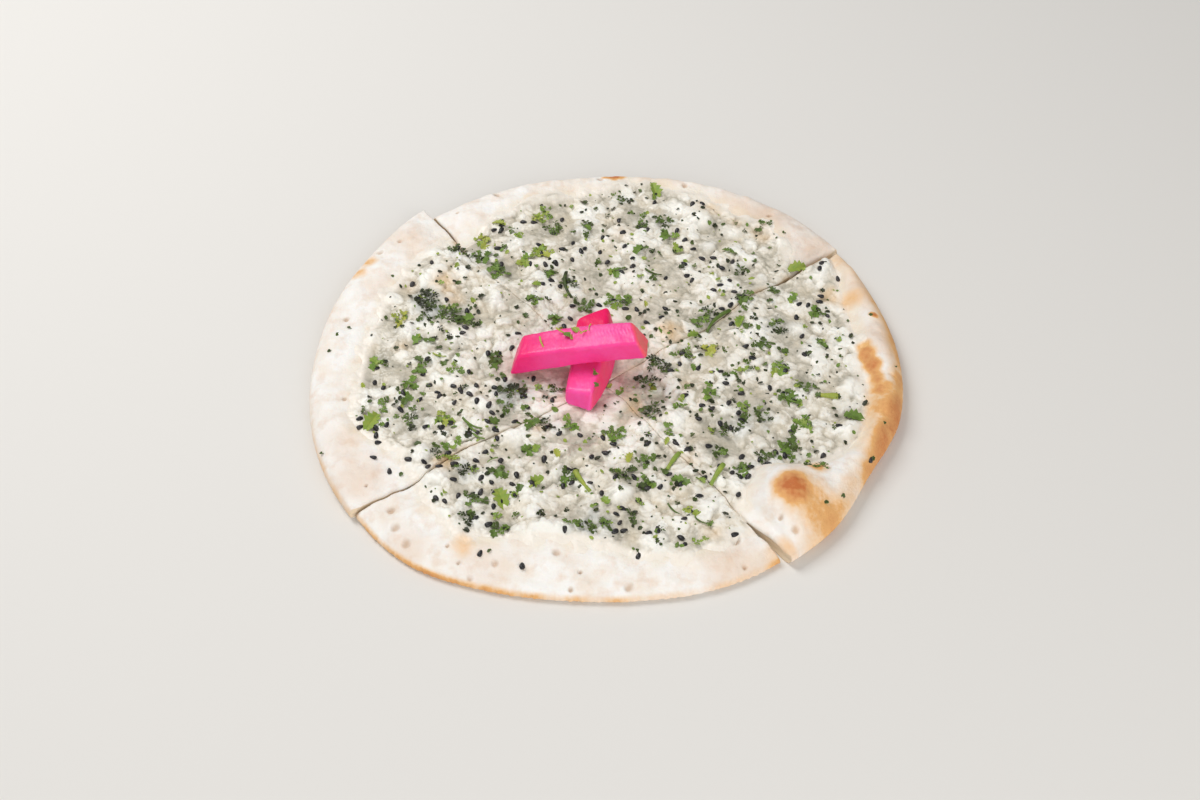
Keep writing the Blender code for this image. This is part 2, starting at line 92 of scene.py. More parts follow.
# Each quarter's outline is its reach from the cut centre, evenly spaced from its first cut to its last one.
# The topping's edge is given the same way. The profile is the rim's height from its outer edge inwards, edge
# is the height of its lip, and roll and under are how far in the lip rounds over above and below.
Quarter = namedtuple("Quarter", "first last reach topping profile edge roll under")
QUARTERS = {
    "back": Quarter(
        "upper_right",
        "upper_left",
        mm(117.4, 119.0, 118.3, 115.8, 114.6, 113.7, 112.2),
        mm(92.3, 103.1, 105.6, 107.6, 109.3, 101.8, 101.4, 96.5, 89.4),
        mm(7.0, 8.0, 8.0, 7.4),
        edge=2.4 * MM,
        roll=4.0 * MM,
        under=2.5 * MM,
    ),
    "left": Quarter(
        "upper_left",
        "lower_left",
        mm(118.8, 113.5, 109.7, 106.5, 104.8, 103.7, 102.6),
        mm(95.9, 94.2, 92.2, 88.8, 88.1, 87.3, 89.0, 77.8, 76.3),
        mm(6.6, 7.6, 7.8, 7.0),
        edge=2.6 * MM,
        roll=4.5 * MM,
        under=2.5 * MM,
    ),
    "front": Quarter(
        "lower_left",
        "lower_right",
        mm(100.8, 99.6, 94.4, 90.9, 90.5, 92.5, 94.4),
        mm(77.2, 80.5, 80.3, 72.8, 69.4, 72.2, 78.3, 80.0, 78.3),
        mm(3.4, 5.2, 6.6, 6.8),
        edge=1.3 * MM,
        roll=3.0 * MM,
        under=2.0 * MM,
    ),
    "right": Quarter(
        "lower_right",
        "upper_right",
        mm(97.3, 99.0, 99.6, 106.1, 109.6, 112.2, 115.5),
        mm(71.6, 69.5, 68.0, 66.8, 76.5, 84.6, 89.8, 92.9, 94.6)
        + mm(94.3, 93.8, 94.8, 96.5, 98.2, 100.8, 106.0, 111.4),
        mm(8.2, 10.6, 10.2, 7.4),
        edge=3.4 * MM,
        roll=6.5 * MM,
        under=4.0 * MM,
    ),
}

SLAB_TOP = 4.2 * MM  # the flat dough under the topping
FOLD_SIZE = 17 * MM  # the rim rises and falls slowly
FOLD_RISE = 0.9 * MM
PINCH_HEIGHT = 5.6 * MM  # the wheel pressed the rim down to this height where it cut
PINCH_WIDTH = 13 * MM
# Fine wrinkles of the rim's skin as (rise, width, level of the noise).
WRINKLES = ((0.3 * MM, 2.8 * MM, 7), (0.08 * MM, 1.1 * MM, 12))
CUT_WEAR = 1.0 * MM  # how far the rim is rounded off along a cut
# Swellings of the rim as (x, y, radius, rise). The first is the browned bubble.
SWELLINGS = (
    mm(61, -61, 17, 5.4),
    mm(46, -79, 10, 1.2),
    mm(66, 68, 12, 1.6),
    mm(-40, 90, 10, 1.0),
    mm(97, 6, 12, 1.2),
)
CHEESE_FLOOR = 4.5 * MM  # the cheese lies on the dough here, and a topping lies lower only in an open cut
CHEESE_TOP = 7.0 * MM
CHEESE_AT_CUT = 5.9 * MM
LUMP_SIZE = 10 * MM  # the cheese is spread in soft lumps
LUMP_RISE = 1.5 * MM
GRIT_RISE = 0.22 * MM
CLOSED_TO = 0.84  # past this share of a cut's length, no cheese ran together again
CLOSED_FADE = 0.15  # before that, the cut opens over this share
# Mounds of cheese as (x, y, radius, rise).
MOUNDS = (
    mm(-56, -56, 9, 1.4),
    mm(-17, -77, 10, 1.5),
    mm(82, 48, 9, 1.6),
    mm(36, 76, 9, 1.2),
    mm(86, -31, 7, 1.3),
    mm(86, -10, 6, 1.0),
    mm(50, -32, 8, 1.0),
    mm(-66, 50, 9, 1.0),
    mm(20, 18, 9, 0.9),
)

# The corners of each stick as bottom and top, front and back at both of its ends, with its bow and bulges.
Stick = namedtuple("Stick", "corners bow bulge_low bulge_high")
STICKS = {
    "pickle_under": Stick(
        {
            (-1, -1, -1): mm(-14.8, -22.5, 7.2),
            (-1, 1, -1): mm(-5.9, -27.0, 7.2),
            (-1, -1, 1): mm(-14.6, -20.5, 12.4),
            (-1, 1, 1): mm(-5.0, -23.8, 14.6),
            (1, -1, -1): mm(-11.8, 15.0, 7.2),
            (1, 1, -1): mm(2.0, 17.0, 7.2),
            (1, -1, 1): mm(-11.2, 15.4, 12.4),
            (1, 1, 1): mm(0.0, 20.0, 15.0),
        },
        bow=0.2 * MM,
        bulge_low=5.0 * MM,
        bulge_high=1.4 * MM,
    ),
    "pickle_top": Stick(
        {
            (-1, -1, -1): mm(-33.4, 1.0, 7.6),
            (-1, 1, -1): mm(-35.5, -10.0, 7.4),
            (-1, -1, 1): mm(-30.8, 2.1, 16.8),
            (-1, 1, 1): mm(-32.2, -8.4, 16.4),
            (1, -1, -1): mm(15.1, -3.0, 20.4),
            (1, 1, -1): mm(14.1, -12.4, 20.2),
            (1, -1, 1): mm(8.1, -1.6, 28.9),
            (1, 1, 1): mm(10.9, -12.6, 28.5),
        },
        bow=1.0 * MM,
        bulge_low=0.0,
        bulge_high=0.6 * MM,
    ),
}
STICK_EDGE = 1.5 * MM  # how far a stick's edges are rounded
PRESS_MARGIN = 4.5 * MM  # the cheese lies flat this far round a stick that rests on it
PRESSED_TOP = 6.9 * MM

# ---------------------------------------------------------------------------------------------------------
# What the oven and the baker left on it. From here on, tables of places are in millimetres.

# Browned spots of crust as (x, y, radius, strength).
TOASTED = (
    (62, -64, 8, 0.72), (66, -66, 13, 0.34), (74, -69, 10, 0.16), (72, -78, 11, 0.12),
    (93, 6, 3.5, 0.5), (94, 2, 4, 0.7), (95.5, -3.5, 4.5, 0.85), (96.5, -9, 4, 0.6), (97, -14, 4.5, 0.45),
    (97.5, -20, 9, 0.35), (96.5, -29, 10, 0.3), (94, -40, 9, 0.22), (91, 31, 6, 0.3), (98, 21, 2.4, 0.9),
    (72, -52, 5, 0.5), (-1.5, 99.5, 2.4, 0.5), (1.5, 99, 3.2, 0.95), (4.5, 99.5, 2.4, 0.6),
    (-92, 49, 4.5, 0.4), (-95, 43, 4, 0.35), (-55, -51, 5, 0.4), (-47, -85, 5.5, 0.28), (57, -86, 7, 0.25),
)  # fmt: skip
# Patches of crust that dried pinkish, as (x, y, radius, strength).
BLUSHED = (
    (62, 76, 17, 0.8),
    (80, 58, 16, 0.7),
    (46, 84, 12, 0.6),
    (20, 100, 12, 0.4),
    (98, 36, 14, 0.8),
    (104, 10, 14, 0.9),
    (-86, 34, 10, 0.4),
    (-78, 62, 12, 0.4),
    (-92, -42, 12, 0.4),
    (-84, -58, 14, 0.6),
    (-66, -84, 10, 0.5),
    (-40, -92, 12, 0.4),
    (40, -90, 14, 0.5),
    (60, -92, 14, 0.5),
)
# How far the oven caught each rim's lip, from the quarter's first cut to its last, and how wide.
Lip = namedtuple("Lip", "strength width")
LIPS = {
    "back": Lip((0.4, 0.3, 0.2, 0.1, 0.1, 0.05, 0.1), 1.6 * MM),
    "left": Lip((0.1, 0.12, 0.1, 0.05, 0.12, 0.22, 0.3), 1.6 * MM),
    "front": Lip((0.3, 0.55, 0.6, 0.4, 0.25, 0.2, 0.25), 1.5 * MM),
    "right": Lip((0.0, 0.3, 0.5, 0.6, 0.55, 0.42, 0.35), 8.5 * MM),
}
# How thickly the cheese ran out over each rim.
FILM = {"back": 0.35 * MM, "left": 0.4 * MM, "front": 0.35 * MM, "right": 0.0}
# How roughly each rim's thin edge tore as it rose.
RAGGED = {"back": 0.15 * MM, "left": 0.2 * MM, "front": 0.45 * MM, "right": 0.12 * MM}
# Holes that the docker pricked. hole_radius says how far each one closed.
DOCKER_HOLES = (
    (-72, -70), (-66, -83), (-52, -85), (-36, -91), (-16, -87), (-8, -94), (8, -99), (46, -90), (63, -78),
    (-97, 18), (-93, -22), (-60, 77), (30, 95), (102, -8), (-81, -61), (-70, -77), (-48, -91), (-44, -96),
    (-11, -100), (58, -74), (43, -81), (-81, 60), (-88, 54), (-4, 98), (63, 78), (-45, 88),
)  # fmt: skip
HOLE_RADIUS = 1.1
HOLE_SIZES = (0.7, 1.2)  # the least and the most of it that a hole keeps
HOLE_DEPTH = 1.3
# Wider hollows as (x, y, radius).
DENTS = (
    (-59, -76, 6), (42, -83, 5), (8, -87, 7), (-96, 16, 6), (-89, -44, 6), (-41, 90, 6), (-73, -70, 5),
    (-104, -12, 6), (26, -93, 6), (60, 80, 7), (-20, -95, 7), (100, -30, 7),
)  # fmt: skip
DENT_DEPTH = 0.9
# Large white curds as (x, y, radius).
WHITE_CURDS = (
    (34, 75, 5.5), (48, 70, 4.5), (26, 82, 4.5), (55, 63, 3.5), (68, 62, 3.5), (38, 61, 3), (85, 51, 5.5),
    (80, 45, 4.5), (-37, 60, 4.5), (-12, 68, 2.5), (-68, 40, 4), (15, 42, 4), (56, 18, 5), (70, 17, 4),
    (86, 10, 4.5), (75, 5, 5), (-42, 28, 3.5), (-55, 10, 4.5), (-74, 12, 4), (-44, -24, 4), (-32, -39, 4.5),
    (-58, -57, 5.5), (-64, -47, 4), (-24, -64, 4.5), (-43, -75, 5), (-22, -81, 6), (-8, -58, 4),
    (3, -22, 4), (24, -30, 4), (47, -34, 4), (42, -24, 3), (86, -34, 5), (88, -12, 4.5), (35, -67, 4.5),
    (16, -82, 5), (58, -50, 3.5), (5, -62, 4), (-86, -22, 3.5), (-14, -79, 5), (44, -58, 4),
)  # fmt: skip
CURD_RISE = 0.8
# Cheese that browned or let its fat out, as (x, y, radius, strength).
TANNED = (
    (23, 14, 7, 0.9), (84, 34, 7, 0.8), (-62, 38, 8, 0.8), (-58, 30, 6, 0.6), (-57, 61, 5, 0.8),
    (-55, -51, 6, 0.9), (40, 83, 8, 0.6), (60, 68, 7, 0.6), (72, -52, 5, 0.9), (36, -79, 6, 0.5),
    (29, -47, 5, 0.4), (8, -22, 6, 0.7), (-24, -34, 5, 0.6), (28, -13, 4, 0.5), (5, 67, 6, 0.3),
    (-76, 36, 6, 0.4), (50, 74, 7, 0.4), (-75, 4, 5, 0.4),
)  # fmt: skip


class DoughSettings(bpy.types.PropertyGroup):
    grain: FloatProperty(
        name="Grain",
        description="Spacing of the rim's corners",
        default=0.5 * MM,
        min=0.2 * MM,
        unit="LENGTH",
    )
    blister: FloatProperty(
        name="Blister", description="Width of the crust's soft blisters", default=6 * MM, unit="LENGTH"
    )
    blister_rise: FloatProperty(
        name="Blister Rise", description="How far the blisters stand up", default=0.65 * MM, unit="LENGTH"
    )
    pale: FloatVectorProperty(
        name="Pale", description="The crust where it is palest", default=linear("#F8F5F0"), subtype="COLOR"
    )
    cream: FloatVectorProperty(
        name="Cream", description="The crust between pale patches", default=linear("#F0E0CE"), subtype="COLOR"
    )
    blush: FloatVectorProperty(
        name="Blush", description="Crust that dried pinkish", default=linear("#E2C2A6"), subtype="COLOR"
    )
    golden: FloatVectorProperty(
        name="Golden", description="Lightly toasted crust", default=linear("#EFBB78"), subtype="COLOR"
    )
    brown: FloatVectorProperty(
        name="Brown", description="Well toasted crust", default=linear("#C4703A"), subtype="COLOR"
    )


class CheeseSettings(bpy.types.PropertyGroup):
    grain: FloatProperty(
        name="Grain", description="Spacing of the corners", default=0.42 * MM, min=0.2 * MM, unit="LENGTH"
    )
    curd: FloatProperty(
        name="Curd", description="Width of the larger curds", default=4.6 * MM, unit="LENGTH"
    )
    curd_rise: FloatProperty(
        name="Curd Rise", description="How far a large curd stands up", default=1.3 * MM, unit="LENGTH"
    )
    crumb: FloatProperty(
        name="Crumb", description="Width of the small curds", default=2.3 * MM, unit="LENGTH"
    )
    crumb_rise: FloatProperty(
        name="Crumb Rise", description="How far a small curd stands up", default=0.82 * MM, unit="LENGTH"
    )
    white: FloatVectorProperty(
        name="White", description="Curds that stayed whole", default=linear("#F8F5EC"), subtype="COLOR"
    )
    cream: FloatVectorProperty(
        name="Cream", description="The melted cheese", default=linear("#E2D9C8"), subtype="COLOR"
    )
    # The grey of the gaps between curds: moist whey, darkened with painted shade.
    whey: FloatVectorProperty(
        name="Whey", description="The moist gaps between curds", default=linear("#A8A291"), subtype="COLOR"
    )
    # Also the tan along the cut edges, which is partly fat and partly painted shade.
    tan: FloatVectorProperty(
        name="Tan", description="Cheese browned in the oven", default=linear("#DDBB8E"), subtype="COLOR"
    )


class SeedSettings(bpy.types.PropertyGroup):
    count: IntProperty(name="Count", description="Seeds sown on the cheese", default=235, min=0)
    length: FloatProperty(name="Length", description="Length of a seed", default=2.8 * MM, unit="LENGTH")
    colour: FloatVectorProperty(
        name="Colour", description="The seed coat", default=linear("#1B1A1C"), subtype="COLOR"
    )


class ParsleySettings(bpy.types.PropertyGroup):
    leaves: IntProperty(name="Leaves", description="Small loose pieces of leaf", default=150, min=0)
    flakes: IntProperty(name="Flakes", description="Finely chopped flakes", default=980, min=0)
    dark: FloatVectorProperty(
        name="Dark", description="Wilted leaf", default=linear("#2C3019"), subtype="COLOR"
    )
    fresh: FloatVectorProperty(
        name="Fresh", description="Fresh leaf", default=linear("#7B9A41"), subtype="COLOR"
    )
    light: FloatVectorProperty(
        name="Light", description="Yellow-green leaf", default=linear("#B3B450"), subtype="COLOR"
    )


class PickleSettings(bpy.types.PropertyGroup):
    grain: FloatProperty(
        name="Grain", description="Spacing of the corners", default=0.4 * MM, min=0.2 * MM, unit="LENGTH"
    )
    pink: FloatVectorProperty(
        name="Pink", description="The flesh of the sticks", default=linear("#FF4A9C"), subtype="COLOR"
    )
    # Deep pink: where the stain settled, and painted shade on the under stick's right side.
    deep: FloatVectorProperty(
        name="Deep", description="Where the stain settled", default=linear("#FA0A66"), subtype="COLOR"
    )
    # Light pink: where the stain is thin, and painted light on the sticks' tops and the under stick's near
    # end.
    light: FloatVectorProperty(
        name="Light", description="Where the stain is thin", default=linear("#FF58A8"), subtype="COLOR"
    )
    coral: FloatVectorProperty(
        name="Coral", description="The rind at the cut ends", default=linear("#FF5F6C"), subtype="COLOR"
    )


class StageSettings(bpy.types.PropertyGroup):
    key: FloatProperty(name="Key", description="Strength of the main softbox", default=6.0, unit="POWER")
    front: FloatProperty(name="Front", description="Strength of the front softbox", default=8.1, unit="POWER")
    room: FloatProperty(name="Room", description="Strength of the room's light", default=0.345)
    floor: FloatVectorProperty(
        name="Floor", description="The pale floor", default=linear("#E4E1DC"), subtype="COLOR"
    )


class ManakishSettings(bpy.types.PropertyGroup):
    dough: PointerProperty(type=DoughSettings)
    cheese: PointerProperty(type=CheeseSettings)
    seeds: PointerProperty(type=SeedSettings)
    parsley: PointerProperty(type=ParsleySettings)
    pickles: PointerProperty(type=PickleSettings)
    stage: PointerProperty(type=StageSettings)


# ---------------------------------------------------------------------------------------------------------
# Shapes over the plan. Points are rows of x and y, in metres.


def through(values, share):
    """The smooth curve through evenly spaced values, read at shares of its length from 0 to 1."""
    values = np.asarray(values)
    place = np.clip(share, 0, 1) * (len(values) - 1)
    i = np.minimum(place.astype(int), len(values) - 2)
    t = place - i
    before, here = values[np.maximum(i - 1, 0)], values[i]
    there, after = values[i + 1], values[np.minimum(i + 2, len(values) - 1)]
    bend = 2 * before - 5 * here + 4 * there - after
    return here + 0.5 * t * (there - before + t * (bend + t * (3 * (here - there) + after - before)))


def smooth(share):
    share = np.clip(share, 0, 1)
    return share * share * (3 - 2 * share)


def rounded(share):
    """A quarter circle's rise, from 0 at its foot to 1 where it levels out."""
    return np.sqrt(1 - (1 - np.clip(share, 0, 1)) ** 2)


def ray(angle):
    angle = np.radians(angle)
    return np.stack([np.cos(angle), np.sin(angle)], -1)


def waves(points, size, level=0.0):
    """Soft noise from about -1 to 1 at each plan point, with features of this size. Each level is unlike."""
    return np.array([noise.noise((x, y, level)) for x, y in points / size])


DOME_FOOT = 0.8  # how far from its middle a dome of unit size ends


def domes(points, size, level):
    """How far up its own dome each plan point stands, from 0 to 1, and that dome's chance number."""
    rises, chances = np.empty(len(points)), np.empty(len(points))
    for i, (x, y) in enumerate(points / size):
        away, spots = noise.voronoi((x, y, level))
        rises[i] = away[0] / DOME_FOOT
        # A large multiple of a sine is as good as a random number for each dome.
        mixed = spots[0].x * 127.1 + spots[0].y * 311.7 + spots[0].z * 74.7
        chances[i] = math.sin(mixed) * 43758.5 % 1
    return np.sqrt(np.clip(1 - rises**2, 0, 1)), chances


def angles_of(quarter):
    first, last = CUTS[quarter.first].angle, CUTS[quarter.last].angle
    return first, last + 360 * (last < first)


def plan_points(quarter, share, distance):
    first, last = angles_of(quarter)
    share = np.asarray(share, float)
    return CUT_CENTRE + ray(first + share * (last - first)) * np.asarray(distance)[..., None]


def plan_place(quarter, points):
    """The share of the quarter's angle and the distance from the cut centre of plan points."""
    first, last = angles_of(quarter)
    away = points - CUT_CENTRE
    angle = np.degrees(np.arctan2(away[:, 1], away[:, 0])) - first
    return ((angle + 90) % 360 - 90) / (last - first), np.hypot(*away.T)


def distances_to_cuts(quarter, points):
    first, last = angles_of(quarter)
    away = points - CUT_CENTRE
    return away @ ray(first + 90), away @ ray(last - 90)


def ran_together(along):
    """How far the cheese of a cut could run together again, at a share of the cut's length."""
    return smooth((CLOSED_TO - along) / CLOSED_FADE)


def settled(quarter, points, melted=0):
    """Where plan points go when the cuts beside them waver and open.

    Where melted is 1, the cuts run together again as far as the cheese did."""
    along = np.hypot(*(points - CUT_CENTRE).T) / CUT_LENGTH
    moved = points.copy()
    for name, side, inside in zip((quarter.first, quarter.last), (1, -1), distances_to_cuts(quarter, points)):
        cut = CUTS[name]
        gap = cut.gap_centre + (cut.gap_rim - cut.gap_centre) * along
        gap *= 1 - melted * cut.closed * ran_together(along)
        shift = (through(cut.waver, along) + side * gap / 2) * smooth(1 - inside / CUT_PULL)
        moved += ray(cut.angle + 90) * shift[:, None]
    return moved


def ragged(name, points):
    """How far the plan points near a rim's outer edge stray in and out, as its edge tore."""
    quarter = QUARTERS[name]
    share, distance = plan_place(quarter, points)
    near = smooth(1 - (through(quarter.reach, share) - distance) / (2.5 * MM))
    stray = RAGGED[name] * near * waves(points, 1.3 * MM, 51)
    return (points - CUT_CENTRE) * (stray / distance)[:, None]


def bumps(points, spots):
    """The sum of full domes with a soft foot at plan points, each spot being x, y, radius and rise."""
    total = np.zeros(len(points))
    for x, y, radius, rise in spots:
        away = ((points[:, 0] - x) ** 2 + (points[:, 1] - y) ** 2) / radius**2
        total += rise * np.clip(1 - away, 0, 1) ** 1.5
    return total


def in_metres(spots):
    """Spots with their place and radius in metres, and their rise or strength as it is."""
    return [(x * MM, y * MM, radius * MM, rise) for x, y, radius, rise in spots]


def hole_radius(x, y):
    """The radius of the docker hole at this place, some having closed more than others as the dough rose."""
    least, most = HOLE_SIZES
    return HOLE_RADIUS * (least + (most - least) * (7 * x + 3 * y) % 5 / 4)


def rim_top(quarter, points, settings):
    """The height of the rim, carried on smoothly under the topping."""
    share, distance = plan_place(quarter, points)
    reach, edge = through(quarter.reach, share), through(quarter.topping, share)
    cuts = np.minimum(*distances_to_cuts(quarter, points))
    inward = reach - distance
    soft = smooth(inward / (2 * quarter.roll))
    level = through(quarter.profile, inward / (reach - edge))
    height = quarter.edge + (level - quarter.edge) * rounded(inward / quarter.roll)
    height += FOLD_RISE * soft * waves(points, FOLD_SIZE)
    height += bumps(points, SWELLINGS) * soft
    height += (np.minimum(height, PINCH_HEIGHT) - height) * smooth(1 - cuts / PINCH_WIDTH)
    skin = settings.blister_rise * waves(points, settings.blister, 5)
    for rise, width, layer in WRINKLES:
        skin += rise * waves(points, width, layer)
    height += skin * smooth(1.4 * inward / quarter.roll)
    holes = [(x, y, hole_radius(x, y), -HOLE_DEPTH) for x, y in DOCKER_HOLES]
    dents = [(x, y, radius, -DENT_DEPTH) for x, y, radius in DENTS]
    height += MM * bumps(points, in_metres(holes + dents)) * smooth(inward / (3 * MM))
    worn = (1 - rounded(cuts / (1.5 * MM))) * smooth(inward / (5 * MM))
    return height - CUT_WEAR * worn


def dough_top(quarter, points, settings):
    """The height of the dough: its rim, and under the topping its slab."""
    share, distance = plan_place(quarter, points)
    inside = through(quarter.topping, share) - distance
    return SLAB_TOP + (rim_top(quarter, points, settings) - SLAB_TOP) * smooth(1 - inside / (3 * MM))


def dough_under(quarter, points):
    share, distance = plan_place(quarter, points)
    inward = through(quarter.reach, share) - distance
    return quarter.edge * (1 - rounded(inward / quarter.under))


def toasting(name, points):
    """How far the oven has browned a quarter's crust, from 0 to 1."""
    quarter, lip = QUARTERS[name], LIPS[name]
    share, distance = plan_place(quarter, points)
    inward = through(quarter.reach, share) - distance
    drift = 1.2 * MM * waves(points, 5 * MM, 3)[:, None]
    spots = bumps(points + drift, in_metres(TOASTED)) * (1 + 0.3 * waves(points, 1.6 * MM, 2))
    caught = through(lip.strength, share) * smooth(1 - inward / lip.width)
    caught *= 0.8 + 0.8 * waves(points, 9 * MM, 11) + 0.25 * waves(points, 2.5 * MM, 13)
    return np.clip(spots + np.clip(caught, 0, 1), 0, 1)


def pricks(points):
    """How near plan points are to the middle of a docker hole, from 0 to 1."""
    holes = in_metres((x, y, hole_radius(x, y), 1.0) for x, y in DOCKER_HOLES)
    return np.clip(bumps(points, holes) * (1 + 0.9 * waves(points, 2 * MM, 6)), 0, 1)


def segment_distance(points, start, end):
    run = end - start
    share = np.clip((points - start) @ run / (run @ run), 0, 1)
    return np.hypot(*(points - start - share[:, None] * run).T)


def pickle_distances(points):
    """How far plan points lie outside each stick's underside."""
    found = []
    for stick in STICKS.values():
        low = {key: np.array(place[:2]) for key, place in stick.corners.items()}
        near, far = (low[-1, -1, -1] + low[-1, 1, -1]) / 2, (low[1, -1, -1] + low[1, 1, -1]) / 2
        half = np.hypot(*(low[1, 1, -1] - low[1, -1, -1])) / 2
        found.append(segment_distance(points, near, far) - half)
    return found


def pressed(points):
    """How firmly the pickles hold the cheese down at plan points, from 0 to 1."""
    tip = [np.array(STICKS["pickle_top"].corners[-1, side, -1][:2]) for side in (-1, 1)]
    nearest = np.minimum(pickle_distances(points)[0], segment_distance(points, *tip))
    return smooth(2 - nearest / PRESS_MARGIN)


def steeping(points):
    """How far the dark herbs stain the cheese and painted shade darkens it round them, from 0 to 1."""
    spots = [
        (x, y, max(across, along) / 2 + 3.5, 0.3 * pieces * (0.65 - tone))
        for x, y, across, along, tone, pieces in HERBS
        if tone < 0.6
    ]
    return np.clip(bumps(points, in_metres(spots)) * (0.8 + 0.9 * waves(points, 3 * MM, 33)), 0, 1)


Relief = namedtuple("Relief", "rise curd opaque")


def cheese_relief(points, settings):
    """The curds of the cheese: their rise, how high on one each point is, and how whole it stayed."""
    drift = 1.7 * MM * np.stack([waves(points, 6 * MM, 21), waves(points, 6 * MM, 22)], 1)
    drift += 0.5 * MM * np.stack([waves(points, 1.7 * MM, 23), waves(points, 1.7 * MM, 24)], 1)
    curds, curd_chance = domes(points + drift, settings.curd, 1.5)
    crumbs, crumb_chance = domes(points + drift, settings.crumb, 4.5)
    grit, _ = domes(points + drift, 0.5 * settings.crumb, 7.5)
    loose = smooth(0.62 + 0.9 * waves(points, 15 * MM, 9))
    rise = settings.curd_rise * (0.3 + 0.7 * loose) * curds * (0.3 + 0.7 * curd_chance)
    rise += settings.crumb_rise * (0.4 + 0.6 * loose) * crumbs * (0.2 + 0.8 * crumb_chance)
    rise += GRIT_RISE * grit
    curd = rise / (settings.curd_rise + settings.crumb_rise)
    lumps = bumps(points + drift, in_metres((x, y, 1.25 * radius, 1.0) for x, y, radius in WHITE_CURDS))
    whole = smooth((curd_chance - 0.66) / 0.12) * smooth(2 * curds - 0.5) * loose
    rise += CURD_RISE * MM * np.clip(lumps, 0, 1) - 0.55 * settings.curd_rise
    return Relief(rise, curd, np.clip(1.2 * lumps * (0.5 + curd) + 0.8 * whole, 0, 1))


def cheese_surface(name, points, settings, dough):
    """The height of the cheese, and the values that its finish reads, at plan points."""
    quarter = QUARTERS[name]
    share, distance = plan_place(quarter, points)
    beyond = distance - through(quarter.topping, share)
    to_first, to_last = distances_to_cuts(quarter, points)
    cuts = np.minimum(to_first, to_last)
    closed = np.where(to_first < to_last, CUTS[quarter.first].closed, CUTS[quarter.last].closed)
    relief = cheese_relief(points, settings)
    press = pressed(points)
    height = CHEESE_TOP + LUMP_RISE * waves(points, LUMP_SIZE, 3) + bumps(points, MOUNDS)
    height += (np.minimum(height, PRESSED_TOP) - height) * press
    height += relief.rise * (1 - 0.6 * press)
    # Past its edge the cheese thins to a film on the rim, except where the browned bubble stands.
    bubble = smooth(2 - np.hypot(*(points - SWELLINGS[0][:2]).T) / (9 * MM))
    crust = rim_top(quarter, points, dough)
    film = crust + FILM[name] + MM * (0.9 * waves(points, 7 * MM, 31) - 0.7 * bubble) - 0.2 * beyond
    film += 0.3 * relief.rise
    on_rim = smooth(1 + beyond / ((4 - 3 * bubble) * MM))
    height += (film - height) * on_rim
    # It sank at the cuts, and less so where it ran together again.
    run_together = closed * ran_together(distance / CUT_LENGTH)
    run_together *= 1 + 0.8 * waves(points, 9 * MM, 18)
    sunken = np.minimum(CHEESE_AT_CUT + 0.4 * relief.rise, height)
    at_cut = sunken + (height - 0.15 * MM - sunken) * np.clip(run_together, 0, 1)
    height = at_cut + (height - at_cut) * rounded(cuts / (2.0 * MM))
    tanned = bumps(points, in_metres(TANNED)) * (0.8 + 0.6 * waves(points, 3 * MM, 14))
    # Along the cuts the cheese turns tan: partly its fat, partly painted shade at the cut's edge.
    seam = 0.35 * smooth(1 - cuts / (1.8 * MM)) * (0.4 + 1.2 * waves(points, 6 * MM, 16))
    thin = on_rim * smooth(1.35 - (height - crust) / (0.8 * MM))
    return height, {
        "curd": relief.curd,
        "opaque": relief.opaque,
        "tanned": np.clip(tanned + np.clip(seam, 0, 1), 0, 1),
        # Pink next to the pickles: the stain of their juice and a painted reflection of their colour.
        "stained": smooth(1.1 - np.minimum(*pickle_distances(points)) / (4 * MM)),
        "thin": thin,
        "toasted": toasting(name, points) * thin,
        "steeped": steeping(points),
    }


# ---------------------------------------------------------------------------------------------------------
# Meshes


def arc_row(quarter, edge, inset, cell):
    """Plan points along a curve of reaches, inset from it, from the quarter's first cut to its last."""
    first, last = angles_of(quarter)
    count = round(math.radians(last - first) * np.mean(edge) / cell)
    share = np.arange(count + 1) / count
    return plan_points(quarter, share, through(edge, share) - inset)


def side_row(quarter, share, start, end, cell):
    """Plan points along a cut, from start to end without the end."""
    reach = np.linspace(start, end, max(2, round((end - start) / cell)))[:-1]
    return plan_points(quarter, np.full(len(reach), share), reach)


def lattice(cell):
    """A lattice of even triangles over the whole bread."""
    rows, columns = round(BREAD_REACH / (cell * math.sqrt(0.75))), round(BREAD_REACH / cell)
    j, i = np.mgrid[-rows : rows + 1, -columns : columns + 1]
    return np.stack([((i + 0.5 * (j % 2)) * cell).ravel(), (j * cell * math.sqrt(0.75)).ravel()], 1)


def outline_of(quarter, sides, arc):
    """The closed outline of a piece, and the way into the quarter at each point of its cut sides."""
    first, last = angles_of(quarter)
    rows = (sides[0], arc, sides[1][::-1])
    inwards = (ray(first + 90), np.zeros(2), ray(last - 90))
    push = [np.tile(inward, (len(row), 1)) for inward, row in zip(inwards, rows)]
    return np.concatenate(rows), np.concatenate(push)


def sheet(outline, inner):
    """Triangles over a flat outline and its inner points: the corners, the triangles and the ring."""
    points = [Vector(p) for p in np.concatenate([outline, inner])]
    ring = list(range(len(outline)))
    corners, _, faces, sources, _, _ = delaunay_2d_cdt(points, [], [ring], 1, 1e-8)
    place = {source: i for i, group in enumerate(sources) for source in group}
    return np.array(corners), faces, [place[i] for i in ring]


def new_piece(name, mesh, finish, values):
    """An object made from a bmesh, which it frees, with named values as point attributes."""
    data = bpy.data.meshes.new(name)
    mesh.to_mesh(data)
    mesh.free()
    for label, numbers in values.items():
        held = data.attributes.new(label, "FLOAT", "POINT").data
        held.foreach_set("value", np.asarray(numbers, np.float32))
    data.materials.append(finish)
    data.shade_smooth()
    obj = bpy.data.objects.new(name, data)
    bpy.context.scene.collection.objects.link(obj)
    return obj


Walls = namedtuple("Walls", "push rows tear")


